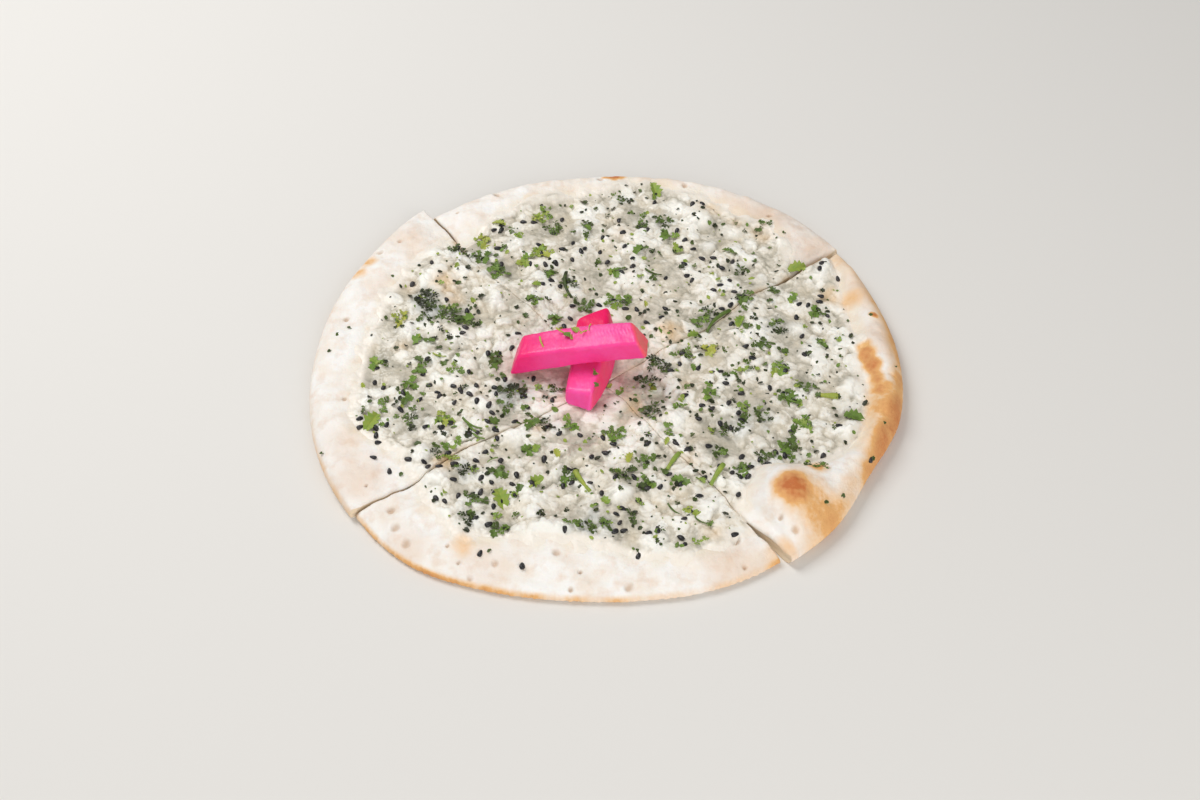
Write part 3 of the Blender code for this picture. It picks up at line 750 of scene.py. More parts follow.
def closed_piece(name, outline, upper, lower, place, walls, finish):
    """A closed piece between an upper and a lower sheet over one outline.

    upper and lower are each a sheet's inner points and a function that gives its heights and named values.
    place moves plan points to where they lie. walls holds the direction that tears each side point inwards,
    the rows of corners up the sides and how far the sides are torn."""
    mesh = bmesh.new()
    layers = {}

    def add_verts(spots, values):
        # A new layer makes Blender forget the corners that it handed out, so the layers come first.
        for label in values:
            if label not in layers:
                layers[label] = mesh.verts.layers.float.new(label)
        verts = [mesh.verts.new(spot) for spot in spots]
        for label, numbers in values.items():
            for vert, number in zip(verts, numbers):
                vert[layers[label]] = number
        return verts

    def add_sheet(inner, surface, flipped):
        corners, faces, ring = sheet(outline, inner)
        heights, values = surface(corners)
        spots = np.column_stack([place(corners), heights])
        verts = add_verts(spots, values)
        for face in faces:
            mesh.faces.new([verts[i] for i in (face[::-1] if flipped else face)])
        return spots[ring], ring, {label: numbers[ring] for label, numbers in values.items()}

    low_spots, low_ring, _ = add_sheet(*lower, True)
    low_count = len(mesh.verts)
    high_spots, high_ring, values = add_sheet(*upper, False)
    values["cut_face"] = walls.push.any(axis=1)
    high_count = len(mesh.verts)
    for k in range(1, walls.rows):
        share = k / walls.rows
        row = high_spots * (1 - share) + low_spots * share
        spots = np.column_stack([row[:, 0] + row[:, 1], row[:, 2] * 1.4])
        torn = 0.5 + 0.5 * waves(spots, 1.6 * MM, 41) + 0.35 * waves(spots, 0.8 * MM, 43)
        row[:, :2] += walls.push * (torn * walls.tear * math.sin(math.pi * share))[:, None]
        add_verts(row, values)
    verts = [*mesh.verts]
    rings = [[verts[low_count + i] for i in high_ring]]
    for k in range(walls.rows - 1):
        start = high_count + k * len(outline)
        rings.append(verts[start : start + len(outline)])
    rings.append([verts[i] for i in low_ring])
    for above, below in zip(rings[:-1], rings[1:]):
        for i in range(len(outline)):
            mesh.faces.new((below[i - 1], below[i], above[i], above[i - 1]))
    bmesh.ops.remove_doubles(mesh, verts=mesh.verts, dist=0.005 * MM)
    bmesh.ops.recalc_face_normals(mesh, faces=mesh.faces)
    return new_piece(name, mesh, finish, {})


def make_crust(name, settings, finish):
    """One quarter of the bread."""
    quarter = QUARTERS[name]
    cell = settings.grain
    turns = np.radians(np.linspace(0, 90, 11))
    sides = []
    for share in (0, 1):
        reach = quarter.reach[-share]
        straight = side_row(quarter, share, CUT_START, reach - quarter.roll, 0.8 * MM)
        roll = reach - quarter.roll * (1 - np.cos(turns[:0:-1]))
        sides.append(np.concatenate([straight, plan_points(quarter, np.full(len(roll), share), roll)]))
    outline, push = outline_of(quarter, sides, arc_row(quarter, quarter.reach, 0, cell))
    rolls = [arc_row(quarter, quarter.reach, quarter.roll * (1 - math.cos(t)), cell)[1:-1] for t in turns[1:]]
    unders = [
        arc_row(quarter, quarter.reach, quarter.under * (1 - math.cos(t)), cell)[1:-1] for t in turns[2::2]
    ]
    points = lattice(cell)
    share, distance = plan_place(quarter, points)
    keep = distance > through(quarter.topping, share) - 3.5 * MM
    keep &= distance < through(quarter.reach, share) - quarter.roll - cell / 2
    keep &= np.minimum(*distances_to_cuts(quarter, points)) > cell / 2
    # The cheese hides the slab, so one coarse row of corners holds it down to its height.
    slab = arc_row(quarter, quarter.topping, 4 * MM, 2 * MM)[1:-1]

    def top(corners):
        share, distance = plan_place(quarter, corners)
        beyond = (distance - through(quarter.topping, share)) / (6 * MM)
        return dough_top(quarter, corners, settings), {
            "toasted": toasting(name, corners),
            "soaked": smooth(1 - beyond + 0.7 * waves(corners, 5 * MM, 8)),
            "blushed": np.clip(bumps(corners, in_metres(BLUSHED)), 0, 1),
            "pricked": pricks(corners),
        }

    def bottom(corners):
        return dough_under(quarter, corners), {"toasted": toasting(name, corners)}

    def place(corners):
        return settled(quarter, corners) + ragged(name, corners)

    upper = (np.concatenate([points[keep], *rolls, slab]), top)
    lower = (np.concatenate(unders), bottom)
    walls = Walls(push, rows=8, tear=0.55 * MM)
    return closed_piece("crust_" + name, outline, upper, lower, place, walls, finish)


def make_cheese(name, settings, dough, finish):
    """The layer of cheese on one quarter, with the film that ran out over its rim."""
    quarter = QUARTERS[name]
    cell = settings.grain
    shares = np.linspace(0, 1, len(quarter.topping))
    border = np.minimum(np.array(quarter.topping) + 5.5 * MM, through(quarter.reach, shares) - 2.5 * MM)
    sides = [side_row(quarter, share, CUT_START, border[-share], cell) for share in (0, 1)]
    outline, push = outline_of(quarter, sides, arc_row(quarter, border, 0, cell))
    points = lattice(cell)
    share, distance = plan_place(quarter, points)
    keep = (distance > CUT_START) & (distance < through(border, share) - cell / 2)
    keep &= np.minimum(*distances_to_cuts(quarter, points)) > cell / 2

    def top(corners):
        return cheese_surface(name, corners, settings, dough)

    def bottom(corners):
        return np.full(len(corners), CHEESE_FLOOR - 0.2 * MM), {}

    def place(corners):
        return settled(quarter, corners, 1)

    walls = Walls(push, rows=4, tear=0.3 * MM)
    lower = (np.empty((0, 2)), bottom)
    return closed_piece("melted_cheese_" + name, outline, (points[keep], top), lower, place, walls, finish)


def stick_grid(halves, cell):
    """A box of these half sizes with an even grid of corners on each face."""
    steps = np.maximum(4, np.round(2 * halves / cell)).astype(int)
    mesh = bmesh.new()
    for axis in range(3):
        a, b = [other for other in range(3) if other != axis]
        for sign in (-1, 1):
            grid = {}
            for i in range(steps[a] + 1):
                for j in range(steps[b] + 1):
                    spot = np.empty(3)
                    spot[axis], spot[a], spot[b] = sign, 2 * i / steps[a] - 1, 2 * j / steps[b] - 1
                    grid[i, j] = mesh.verts.new(spot * halves)
            for i in range(steps[a]):
                for j in range(steps[b]):
                    mesh.faces.new((grid[i, j], grid[i + 1, j], grid[i + 1, j + 1], grid[i, j + 1]))
    bmesh.ops.remove_doubles(mesh, verts=mesh.verts, dist=0.01 * MM)
    bmesh.ops.recalc_face_normals(mesh, faces=mesh.faces)
    return mesh


def stick_spot(stick, u, v, w):
    """The place of a point of the stick, given from -1 to 1 along, across and up it."""
    corners = {key: np.array(place) for key, place in stick.corners.items()}
    arch = 1 - u * u
    place = np.array((0, 0, stick.bow * arch))
    for (a, b, c), corner in corners.items():
        place += corner * (1 + a * u) * (1 + b * v) * (1 + c * w) / 8
    for level, bulge in ((-1, stick.bulge_low), (1, stick.bulge_high)):
        across = corners[-1, 1, level] - corners[-1, -1, level] + corners[1, 1, level] - corners[1, -1, level]
        place += across / np.linalg.norm(across) * bulge * arch * (1 + level * w) / 2 * (1 + v) / 2
    return place


def stick_stain(name, u, v, w):
    """How deep, light and coral the stain is at a point of a stick.

    Light also holds painted light on the tops, and deep painted shade on the under stick's right side.
    """
    # The top stick: darker towards its left end, with painted light on its top faces.
    if name == "pickle_top":
        deep = smooth((-0.3 - u) / 0.8) * 0.7
        light = smooth((w - 0.2) / 0.6) * smooth((u + 0.75) / 0.9) * smooth((1.2 - v) / 1.0)
        return deep, light, smooth((u - 0.93) / 0.06)
    # The under stick: darker towards its far end, with painted shade on its right side and painted light on
    # its near end and top.
    deep = smooth((u + 0.05) / 0.5) + 0.5 * smooth((v - 0.85) / 0.15)
    light = smooth((-0.75 - u) / 0.25) + 0.5 * smooth((-0.2 - u) / 0.6) * smooth((w - 0.3) / 0.6)
    return min(deep, 1), min(light, 1), 0.4 * smooth((v - 0.9) / 0.1) * smooth((0.2 - u) / 0.6)


def stick_skin(spot, name, u, v, w):
    """How far the cut flesh stands up at a point of a stick: patches, strands, and ribs on the top one."""
    x, y, z = spot / MM
    rise = 0.28 * noise.noise((x / 6, y / 6, z / 6)) + 0.10 * noise.noise((x / 1.5, y / 3, z / 1.5))
    rise += 0.05 * noise.noise((x / 0.7, y / 0.7, z / 0.7))
    if name == "pickle_top":
        ribbed = smooth((w - 0.6) / 0.3) * smooth((0.35 - v) / 0.6) * smooth((u + 0.45) / 0.4)
        rise += 0.05 * ribbed * math.sin(2 * math.pi * (x + 0.4 * math.sin(y)) / 1.2)
    return rise * MM


def make_stick(name, settings, finish):
    """A stick drawn to its eight corners, with rounded edges and slightly sunken, stringy flesh."""
    stick = STICKS[name]
    signs = [(-1, -1), (-1, 1), (1, -1), (1, 1)]
    halves = np.empty(3)
    for axis in range(3):
        ends = [[tuple(np.insert(sign, axis, side)) for sign in signs] for side in (-1, 1)]
        runs = [np.subtract(stick.corners[a], stick.corners[b]) for a, b in zip(*ends)]
        halves[axis] = np.mean(np.linalg.norm(runs, axis=1)) / 2
    mesh = stick_grid(halves, settings.grain)
    shares = []
    for vert in mesh.verts:
        spot = np.array(vert.co)
        core = np.clip(spot, STICK_EDGE - halves, halves - STICK_EDGE)
        away = spot - core
        size = np.linalg.norm(away)
        if size > 0:
            spot = core + away / size * min(STICK_EDGE, size)
        shares.append(spot / halves)
        vert.co = stick_spot(stick, *shares[-1])
    mesh.normal_update()
    for vert, share in zip(mesh.verts, shares):
        vert.co += vert.normal * stick_skin(np.array(vert.co), name, *share)
    stains = np.array([stick_stain(name, *share) for share in shares])
    return new_piece(name + "_cut", mesh, finish, dict(zip(("deep", "light", "coral"), stains.T)))


# ---------------------------------------------------------------------------------------------------------
# Toppings: shapes, where they lie, and the node tree that lays them there.

# Half widths of a leaf at even steps from its foot to its tip, so that its teeth show.
WHOLE = (0.05, 0.19, 0.14, 0.31, 0.2, 0.35, 0.2, 0.24, 0.12, 0.04)
CHOPPED = (0.12, 0.42, 0.26, 0.5, 0.3, 0.34)
SCRAP = (0.15, 0.42, 0.22)

Place = namedtuple("Place", "spot facing heading size tone kind")
# What each place holds as an attribute besides its spot. The finish of the toppings reads the tone.
PLACE_VALUES = {
    "facing": "FLOAT_VECTOR",
    "heading": "FLOAT_VECTOR",
    "size": "FLOAT",
    "tone": "FLOAT",
    "kind": "INT",
}
UPRIGHT = 1.6  # toppings lie more level than the ground under them
CUT_CLEAR = 0.5 * MM  # no topping lies nearer to a cut than this
SOWN_REACH = 0.11
TRIES = 60  # for each topping wanted


def shape_object(name, verts, faces, soft):
    """A mesh that only the node tree uses, with its faces pointing outwards."""
    data = bpy.data.meshes.new(name)
    data.from_pydata(verts, [], faces)
    mesh = bmesh.new()
    mesh.from_mesh(data)
    bmesh.ops.recalc_face_normals(mesh, faces=mesh.faces)
    mesh.to_mesh(data)
    mesh.free()
    if soft:
        data.shade_smooth()
    return bpy.data.objects.new(name, data)


def leaf_shape(name, halves, fold, bend, thick=0.05):
    """A thin leaf of unit length along X, folded up along its rib and bent down towards its tip."""
    verts, faces = [], []
    low = 3 * len(halves)
    for side in (1, -1):
        for i, half in enumerate(halves):
            x = i / (len(halves) - 1)
            for y in (-half, 0, half):
                verts.append((x - 0.5, y, fold * abs(y) - bend * x * x + side * thick / 2))
    for i in range(0, low - 3, 3):
        for a in (i, i + 1):
            faces += [(a, a + 3, a + 4, a + 1), (a + low, a + low + 1, a + low + 4, a + low + 3)]
    edge = [*range(0, low, 3), low - 2, *range(low - 1, 0, -3), 1]
    for a, b in zip(edge, edge[1:] + edge[:1]):
        faces.append((a, b, b + low, a + low))
    return shape_object(name, verts, faces, False)


def sprig_shape(name, seed, leaflets, wide, curl):
    """A chopped bit of curly leaf of unit length along X: folded leaflets on both sides of a thin stem."""
    chance = random.Random(seed)
    verts, faces = [], []

    def add_leaflet(foot, turn, length, half, rise):
        edge = ((0, 0, 0), (0.55, half, rise), (1, 0, -rise / 2), (0.55, -half, rise))
        corners = (*edge, (0.5, 0, 0.05), (0.5, 0, -0.04))
        start = len(verts)
        verts.extend(Vector(foot) + length * (turn @ Vector(corner)) for corner in corners)
        for rib in (4, 5):
            for a in range(4):
                faces.append((start + a, start + (a + 1) % 4, start + rib))

    add_leaflet((-0.5, 0, 0), Matrix.Identity(3), 0.8, 0.05, 0.02)
    for i in range(leaflets):
        share = i / (leaflets - 1)
        side = (-1, 1)[i % 2]
        heading = math.radians(side * (75 - 65 * share) + chance.uniform(-15, 15))
        roll, lean = chance.uniform(-curl, curl), chance.uniform(-curl, 0.3 * curl)
        turn = Euler((roll, lean, heading), "XYZ").to_matrix()
        add_leaflet((0.5 * share - 0.25, 0, 0), turn, chance.uniform(0.42, 0.58), wide, 0.14)
    return shape_object(name, verts, faces, False)


def lathe(name, rings, sides, ends):
    """A closed shape along X from rings, each its x, its middle's y and its half width and height.

    It comes to a point this far past the rings at both ends."""
    verts = [(rings[0][0] - ends, rings[0][1], 0), (rings[-1][0] + ends, rings[-1][1], 0)]
    faces = []
    for x, y, wide, high in rings:
        for j in range(sides):
            angle = 2 * math.pi * j / sides
            verts.append((x, y + math.cos(angle) * wide, math.sin(angle) * high))
    last = len(verts) - sides
    for j in range(sides):
        k = (j + 1) % sides
        faces += [(0, 2 + k, 2 + j), (1, last + j, last + k)]
        for a in range(2, last, sides):
            faces.append((a + j, a + k, a + k + sides, a + j + sides))
    return shape_object(name, verts, faces, True)


def seed_shape(name, wide, high, taper):
    """A drop-shaped seed of unit length lying along X."""
    rings = []
    for i in range(1, 6):
        turn = math.pi * i / 6
        girth = math.sin(turn) ** 0.8 * (1 + taper * math.cos(turn)) / 2
        rings.append((-math.cos(turn) / 2, 0, girth * wide, girth * high))
    return lathe(name, rings, 8, 0.04)


def stalk_shape(name, girth, bend):
    """A cut bit of stalk of unit length lying along X, bent and slightly squashed, with blunt ends."""
    rings = []
    for i in range(6):
        x = i / 5 - 0.5
        thick = girth * (0.5 + 0.1 * math.sin(5 * x))
        rings.append((x, 2 * bend * (0.25 - x * x), thick, 0.85 * thick))
    return lathe(name, rings, 7, 0.0)


def add_node(tree, kind, sockets=None, **settings):
    """Adds a node with its settings. Each socket is given a value, or linked to the output it is given."""
    node = tree.nodes.new(kind)
    for name, value in settings.items():
        setattr(node, name, value)
    for key, value in (sockets or {}).items():
        if isinstance(value, bpy.types.NodeSocket):
            tree.links.new(value, node.inputs[key])
        else:
            node.inputs[key].default_value = value
    return node


def topping_tree():
    """The node tree that lays shapes on points. Each point holds its shape's kind, its size and its way, and
    chance tips it and varies its size."""
    found = bpy.data.node_groups.get("LayToppings")
    if found:
        return found
    tree = bpy.data.node_groups.new("LayToppings", "GeometryNodeTree")
    tree.interface.new_socket("Geometry", in_out="OUTPUT", socket_type="NodeSocketGeometry")
    for name, kind in (
        ("Geometry", "NodeSocketGeometry"),
        ("Shapes", "NodeSocketCollection"),
        ("Tilt", "NodeSocketFloat"),
        ("Smallest", "NodeSocketFloat"),
        ("Largest", "NodeSocketFloat"),
        ("Finish", "NodeSocketMaterial"),
        ("Chance", "NodeSocketInt"),
    ):
        tree.interface.new_socket(name, in_out="INPUT", socket_type=kind)
    given = add_node(tree, "NodeGroupInput").outputs
    shapes = add_node(
        tree,
        "GeometryNodeCollectionInfo",
        {"Collection": given["Shapes"], "Separate Children": True, "Reset Children": True},
    )
    read = {}
    for name in ("kind", "facing", "heading", "size"):
        held = add_node(tree, "GeometryNodeInputNamedAttribute", {"Name": name}, data_type=PLACE_VALUES[name])
        read[name] = held.outputs[0]
    upright = add_node(tree, "FunctionNodeAlignRotationToVector", {"Vector": read["facing"]}, axis="Z")
    headed = add_node(
        tree,
        "FunctionNodeAlignRotationToVector",
        {"Rotation": upright.outputs[0], "Vector": read["heading"]},
        axis="X",
        pivot_axis="Z",
    )
    least = add_node(tree, "ShaderNodeMath", {0: given["Tilt"], 1: -1.0}, operation="MULTIPLY")
    low = add_node(tree, "ShaderNodeCombineXYZ", {"X": least.outputs[0], "Y": least.outputs[0]})
    high = add_node(tree, "ShaderNodeCombineXYZ", {"X": given["Tilt"], "Y": given["Tilt"]})
    tilt = add_node(
        tree,
        "FunctionNodeRandomValue",
        {0: low.outputs[0], 1: high.outputs[0], "Seed": given["Chance"]},
        data_type="FLOAT_VECTOR",
    )
    turn = add_node(tree, "FunctionNodeEulerToRotation", {"Euler": tilt.outputs[0]})
    turned = add_node(
        tree,
        "FunctionNodeRotateRotation",
        {"Rotation": headed.outputs[0], "Rotate By": turn.outputs[0]},
        rotation_space="LOCAL",
    )
    spread = add_node(
        tree,
        "FunctionNodeRandomValue",
        {2: given["Smallest"], 3: given["Largest"], "Seed": given["Chance"]},
        data_type="FLOAT",
    )
    scale = add_node(tree, "ShaderNodeMath", {0: read["size"], 1: spread.outputs[1]}, operation="MULTIPLY")
    laid = add_node(
        tree,
        "GeometryNodeInstanceOnPoints",
        {
            "Points": given["Geometry"],
            "Instance": shapes.outputs[0],
            "Pick Instance": True,
            "Instance Index": read["kind"],
            "Rotation": turned.outputs[0],
            "Scale": scale.outputs[0],
        },
    )
    real = add_node(tree, "GeometryNodeRealizeInstances", {"Geometry": laid.outputs[0]})
    sockets = {"Geometry": real.outputs[0], "Material": given["Finish"]}
    done = add_node(tree, "GeometryNodeSetMaterial", sockets)
    add_node(tree, "NodeGroupOutput", {"Geometry": done.outputs[0]})
    return tree


def lay(name, places, shapes, finish, tilt, sizes, chance):
    """One plain mesh of shapes laid on places. Shapes are picked by kind, in the order of their names."""
    collection = bpy.data.collections.new(name + "_shapes")
    for shape in shapes:
        collection.objects.link(shape)
    data = bpy.data.meshes.new(name)
    data.from_pydata([tuple(place.spot) for place in places], [], [])
    for label, kind in PLACE_VALUES.items():
        values = [getattr(place, label) for place in places]
        values = np.array(values, np.int32 if kind == "INT" else np.float32)
        slot = "vector" if kind == "FLOAT_VECTOR" else "value"
        data.attributes.new(label, kind, "POINT").data.foreach_set(slot, values.ravel())
    obj = bpy.data.objects.new(name, data)
    bpy.context.scene.collection.objects.link(obj)
    tree = topping_tree()
    modifier = obj.modifiers.new("Toppings", "NODES")
    modifier.node_group = tree
    given = {
        "Shapes": collection,
        "Tilt": math.radians(tilt),
        "Smallest": sizes[0],
        "Largest": sizes[1],
        "Finish": finish,
        "Chance": chance,
    }
    for item in tree.interface.items_tree:
        if item.in_out == "INPUT" and item.name in given:
            modifier[item.identifier] = given[item.name]
    bpy.context.view_layer.update()
    graph = bpy.context.evaluated_depsgraph_get()
    made = bpy.data.meshes.new_from_object(obj.evaluated_get(graph))
    obj.modifiers.clear()
    obj.data = made
    bpy.data.collections.remove(collection)
    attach(obj, BODY)
    return obj


class Ground:
    """The tops of the pieces that toppings lie on."""

    def __init__(self, names):
        verts, faces = [], []
        for name in names:
            data = bpy.data.objects[name].data
            start = len(verts)
            verts += [v.co for v in data.vertices]
            faces += [[start + i for i in polygon.vertices] for polygon in data.polygons]
        self.tree = BVHTree.FromPolygons(verts, faces)

    def lay_on(self, x, y, turn, lift, size, tone, kind):
        """The place of one topping at a plan point, or None over an open cut."""
        spot, normal, _, _ = self.tree.ray_cast(Vector((x, y, 1)), Vector((0, 0, -1)))
        if spot is None or spot.z < CHEESE_FLOOR:
            return None
        facing = (normal + Vector((0, 0, UPRIGHT))).normalized()
        return Place(spot + facing * lift, facing, Vector((*ray(turn), 0)), size, tone, kind)


def bread_ground():
    return Ground([f"{kind}_{name}" for kind in ("crust", "melted_cheese") for name in QUARTERS])


def room_for_topping(x, y, margin):
    """Whether a plan point lies on the cheese, this far in from its edge and off the cuts and pickles."""
    spot = np.array([[x, y]])
    if min(pickle_distances(spot))[0] < 0:
        return False
    for quarter in QUARTERS.values():
        share, distance = plan_place(quarter, spot)
        if 0 <= share[0] <= 1:
            edge = through(quarter.topping, share)[0]
            return distance[0] < edge - margin and min(distances_to_cuts(quarter, spot))[0] > CUT_CLEAR
    return False


def sow(land, chance, count, apart, density, margin, describe):
    """Places for toppings, no two nearer than apart, thicker where the density says so.

    describe gives each one's lift, size, tone and kind."""
    kept = []
    for _ in range(TRIES * count):
        if len(kept) == count:
            break
        x, y = chance.uniform(-SOWN_REACH, SOWN_REACH), chance.uniform(-SOWN_REACH, SOWN_REACH)
        if chance.random() > density(x, y) or not room_for_topping(x, y, margin):
            continue
        if any((x - p.spot.x) ** 2 + (y - p.spot.y) ** 2 < apart * apart for p in kept):
            continue
        place = land.lay_on(x, y, chance.uniform(0, 360), *describe())
        if place:
            kept.append(place)
    return kept


# ---------------------------------------------------------------------------------------------------------
# Finishes


def new_finish(name, **sockets):
    """A material with a Principled shader, its constant values set on the shader's own sockets."""
    made = bpy.data.materials.new(name)
    made.use_nodes = True
    tree = made.node_tree
    shader = tree.nodes["Principled BSDF"]
    for label, value in sockets.items():
        shader.inputs[label.replace("_", " ")].default_value = value
    return made, tree, shader


def tinted(tree, colour, tints):
    """Lays tints over a colour in turn. Each is its share, a value or an output, and its linear colour."""
    for share, tint in tints:
        colour = add_node(
            tree, "ShaderNodeMix", {0: share, 6: colour, 7: (*tint, 1)}, data_type="RGBA"
        ).outputs[2]
    return colour


def finish_crust(settings):
    """Baked flat bread: floury and matt, cream between pale patches, golden then brown where it toasted."""
    made, tree, shader = new_finish(
        "baked_flatbread_crust",
        Roughness=0.72,
        IOR=1.45,
        Subsurface_Weight=0.06,
        Subsurface_Scale=0.002,
        Subsurface_Radius=(1.0, 0.6, 0.4),
    )
    place = add_node(tree, "ShaderNodeTexCoord").outputs["Object"]
    # Patches about 14 mm wide where the dough dried pale.
    patches = add_node(
        tree, "ShaderNodeTexNoise", {"Vector": place, "Scale": 70.0, "Detail": 4.0, "Roughness": 0.6}
    )
    creamy = add_node(tree, "ShaderNodeMapRange", {0: patches.outputs["Fac"], 1: 0.42, 2: 0.74, 4: 0.9})
    # Mottles about 5 mm wide, drier and browner at their middles.
    mottles = add_node(
        tree, "ShaderNodeTexNoise", {"Vector": place, "Scale": 190.0, "Detail": 3.0, "Roughness": 0.55}
    )
    mottled = add_node(tree, "ShaderNodeMapRange", {0: mottles.outputs["Fac"], 1: 0.5, 2: 0.76, 4: 0.5})
    blushed = add_node(tree, "ShaderNodeAttribute", attribute_name="blushed")
    blush = add_node(tree, "ShaderNodeMath", {0: blushed.outputs["Fac"], 1: 0.8}, operation="MULTIPLY")
    soaked = add_node(tree, "ShaderNodeAttribute", attribute_name="soaked")
    fatty = add_node(tree, "ShaderNodeMath", {0: soaked.outputs["Fac"], 1: 0.4}, operation="MULTIPLY")
    # The docker holes darken to tan towards their middles: partly browning, partly painted shade in the
    # hollows.
    pricked = add_node(tree, "ShaderNodeAttribute", attribute_name="pricked")
    holes = add_node(tree, "ShaderNodeMath", {0: pricked.outputs["Fac"], 1: 0.62}, operation="MULTIPLY")
    # Freckles about a millimetre wide break up the browning.
    freckles = add_node(tree, "ShaderNodeTexNoise", {"Vector": place, "Scale": 900.0, "Detail": 3.0})
    speckled = add_node(
        tree, "ShaderNodeMath", {0: freckles.outputs["Fac"], 1: 0.5, 2: 0.75}, operation="MULTIPLY_ADD"
    )
    toasted = add_node(tree, "ShaderNodeAttribute", attribute_name="toasted")
    browned = add_node(
        tree, "ShaderNodeMath", {0: toasted.outputs["Fac"], 1: speckled.outputs[0]}, operation="MULTIPLY"
    )
    to_gold = add_node(tree, "ShaderNodeMapRange", {0: browned.outputs[0], 1: 0.0, 2: 0.42})
    to_brown = add_node(tree, "ShaderNodeMapRange", {0: browned.outputs[0], 1: 0.3, 2: 0.95})
    cut_face = add_node(tree, "ShaderNodeAttribute", attribute_name="cut_face")
    colour = tinted(
        tree,
        (*settings.pale, 1),
        (
            (creamy.outputs[0], settings.cream),
            (mottled.outputs[0], settings.blush),
            (blush.outputs[0], settings.blush),
            (fatty.outputs[0], linear("#F2E3C6")),
            (holes.outputs[0], linear("#BD9873")),
            (to_gold.outputs[0], settings.golden),
            (to_brown.outputs[0], settings.brown),
            (cut_face.outputs["Fac"], linear("#E9D6BA")),
        ),
    )
    tree.links.new(colour, shader.inputs["Base Color"])
    # Dry flour and pores, about 1 mm and 0.4 mm wide.
    pores = add_node(
        tree, "ShaderNodeTexNoise", {"Vector": place, "Scale": 1000.0, "Detail": 4.0, "Roughness": 0.65}
    )
    bump = add_node(
        tree, "ShaderNodeBump", {"Strength": 0.6, "Distance": 0.0004, "Height": pores.outputs["Fac"]}
    )
    tree.links.new(bump.outputs[0], shader.inputs["Normal"])
    return made


def finish_cheese(settings):
    """Melted brined cheese: white curds in cream melt, with moist grey whey between, tanned in places.

    Painted shade darkens the gaps between curds and, with the fat, the cheese along the cuts; painted light
    whitens the curd tops.
    """
    made, tree, shader = new_finish(
        "melted_white_cheese",
        IOR=1.45,
        Subsurface_Weight=0.08,
        Subsurface_Scale=0.001,
        Subsurface_Radius=(1.0, 0.8, 0.6),
    )
    place = add_node(tree, "ShaderNodeTexCoord").outputs["Object"]
    values = {
        name: add_node(tree, "ShaderNodeAttribute", attribute_name=name).outputs["Fac"]
        for name in ("curd", "opaque", "tanned", "stained", "thin", "steeped", "toasted", "cut_face")
    }
    # Fine crumbs about 2 mm wide make each curd's height uneven, and the painted shade and light follow it.
    grain = add_node(
        tree, "ShaderNodeTexNoise", {"Vector": place, "Scale": 420.0, "Detail": 5.0, "Roughness": 0.6}
    )
    height = add_node(
        tree, "ShaderNodeMath", {0: grain.outputs["Fac"], 1: 0.5, 2: values["curd"]}, operation="MULTIPLY_ADD"
    )
    # Low in the gaps the colour stays the grey of the whey, which also holds painted shade; cream melt comes
    # in higher up.
    melt = add_node(tree, "ShaderNodeMapRange", {0: height.outputs[0], 1: 0.34, 2: 0.72})
    # Painted light: the highest parts of the curds turn white.
    tops = add_node(tree, "ShaderNodeMapRange", {0: height.outputs[0], 1: 0.62, 2: 0.95, 4: 0.85})
    # Cream patches about 12 mm wide, where fat has come out of the cheese.
    patches = add_node(tree, "ShaderNodeTexNoise", {"Vector": place, "Scale": 85.0, "Detail": 3.0})
    creamy = add_node(tree, "ShaderNodeMapRange", {0: patches.outputs["Fac"], 1: 0.5, 2: 0.7, 4: 0.45})
    # Grey-green round the dark herbs: their stain in the cheese, with painted shade round the clumps.
    steep = add_node(tree, "ShaderNodeMath", {0: values["steeped"], 1: 0.62}, operation="MULTIPLY")
    # Pink next to the pickles: juice stain with a painted reflection of the sticks.
    pink = add_node(tree, "ShaderNodeMath", {0: values["stained"], 1: 0.08}, operation="MULTIPLY")
    # The cheese's cut sides turn brown: partly fat, partly painted shade in the narrow cuts.
    side = add_node(tree, "ShaderNodeMath", {0: values["cut_face"], 1: 0.5}, operation="MULTIPLY")
    golden = add_node(tree, "ShaderNodeMapRange", {0: values["toasted"], 1: 0.0, 2: 0.4})
    colour = tinted(
        tree,
        (*settings.whey, 1),
        (
            (melt.outputs[0], settings.cream),
            (creamy.outputs[0], linear("#E6D6BA")),
            (tops.outputs[0], settings.white),
            (values["opaque"], settings.white),
            (steep.outputs[0], linear("#868E8A")),
            (values["tanned"], settings.tan),
            (values["thin"], linear("#F4EBDE")),
            (golden.outputs[0], linear("#EFBB78")),
            (pink.outputs[0], linear("#F09AB0")),
            (side.outputs[0], linear("#C9AE88")),
        ),
    )
    tree.links.new(colour, shader.inputs["Base Color"])
    moist = add_node(tree, "ShaderNodeMapRange", {0: height.outputs[0], 1: 0.3, 2: 0.9, 3: 0.22, 4: 0.46})
    tree.links.new(moist.outputs[0], shader.inputs["Roughness"])
    # Crumbs about 1 mm wide.
    crumbs = add_node(tree, "ShaderNodeTexNoise", {"Vector": place, "Scale": 1100.0, "Detail": 3.0})
    bump = add_node(
        tree, "ShaderNodeBump", {"Strength": 0.4, "Distance": 0.0004, "Height": crumbs.outputs["Fac"]}
    )
    tree.links.new(bump.outputs[0], shader.inputs["Normal"])
    return made


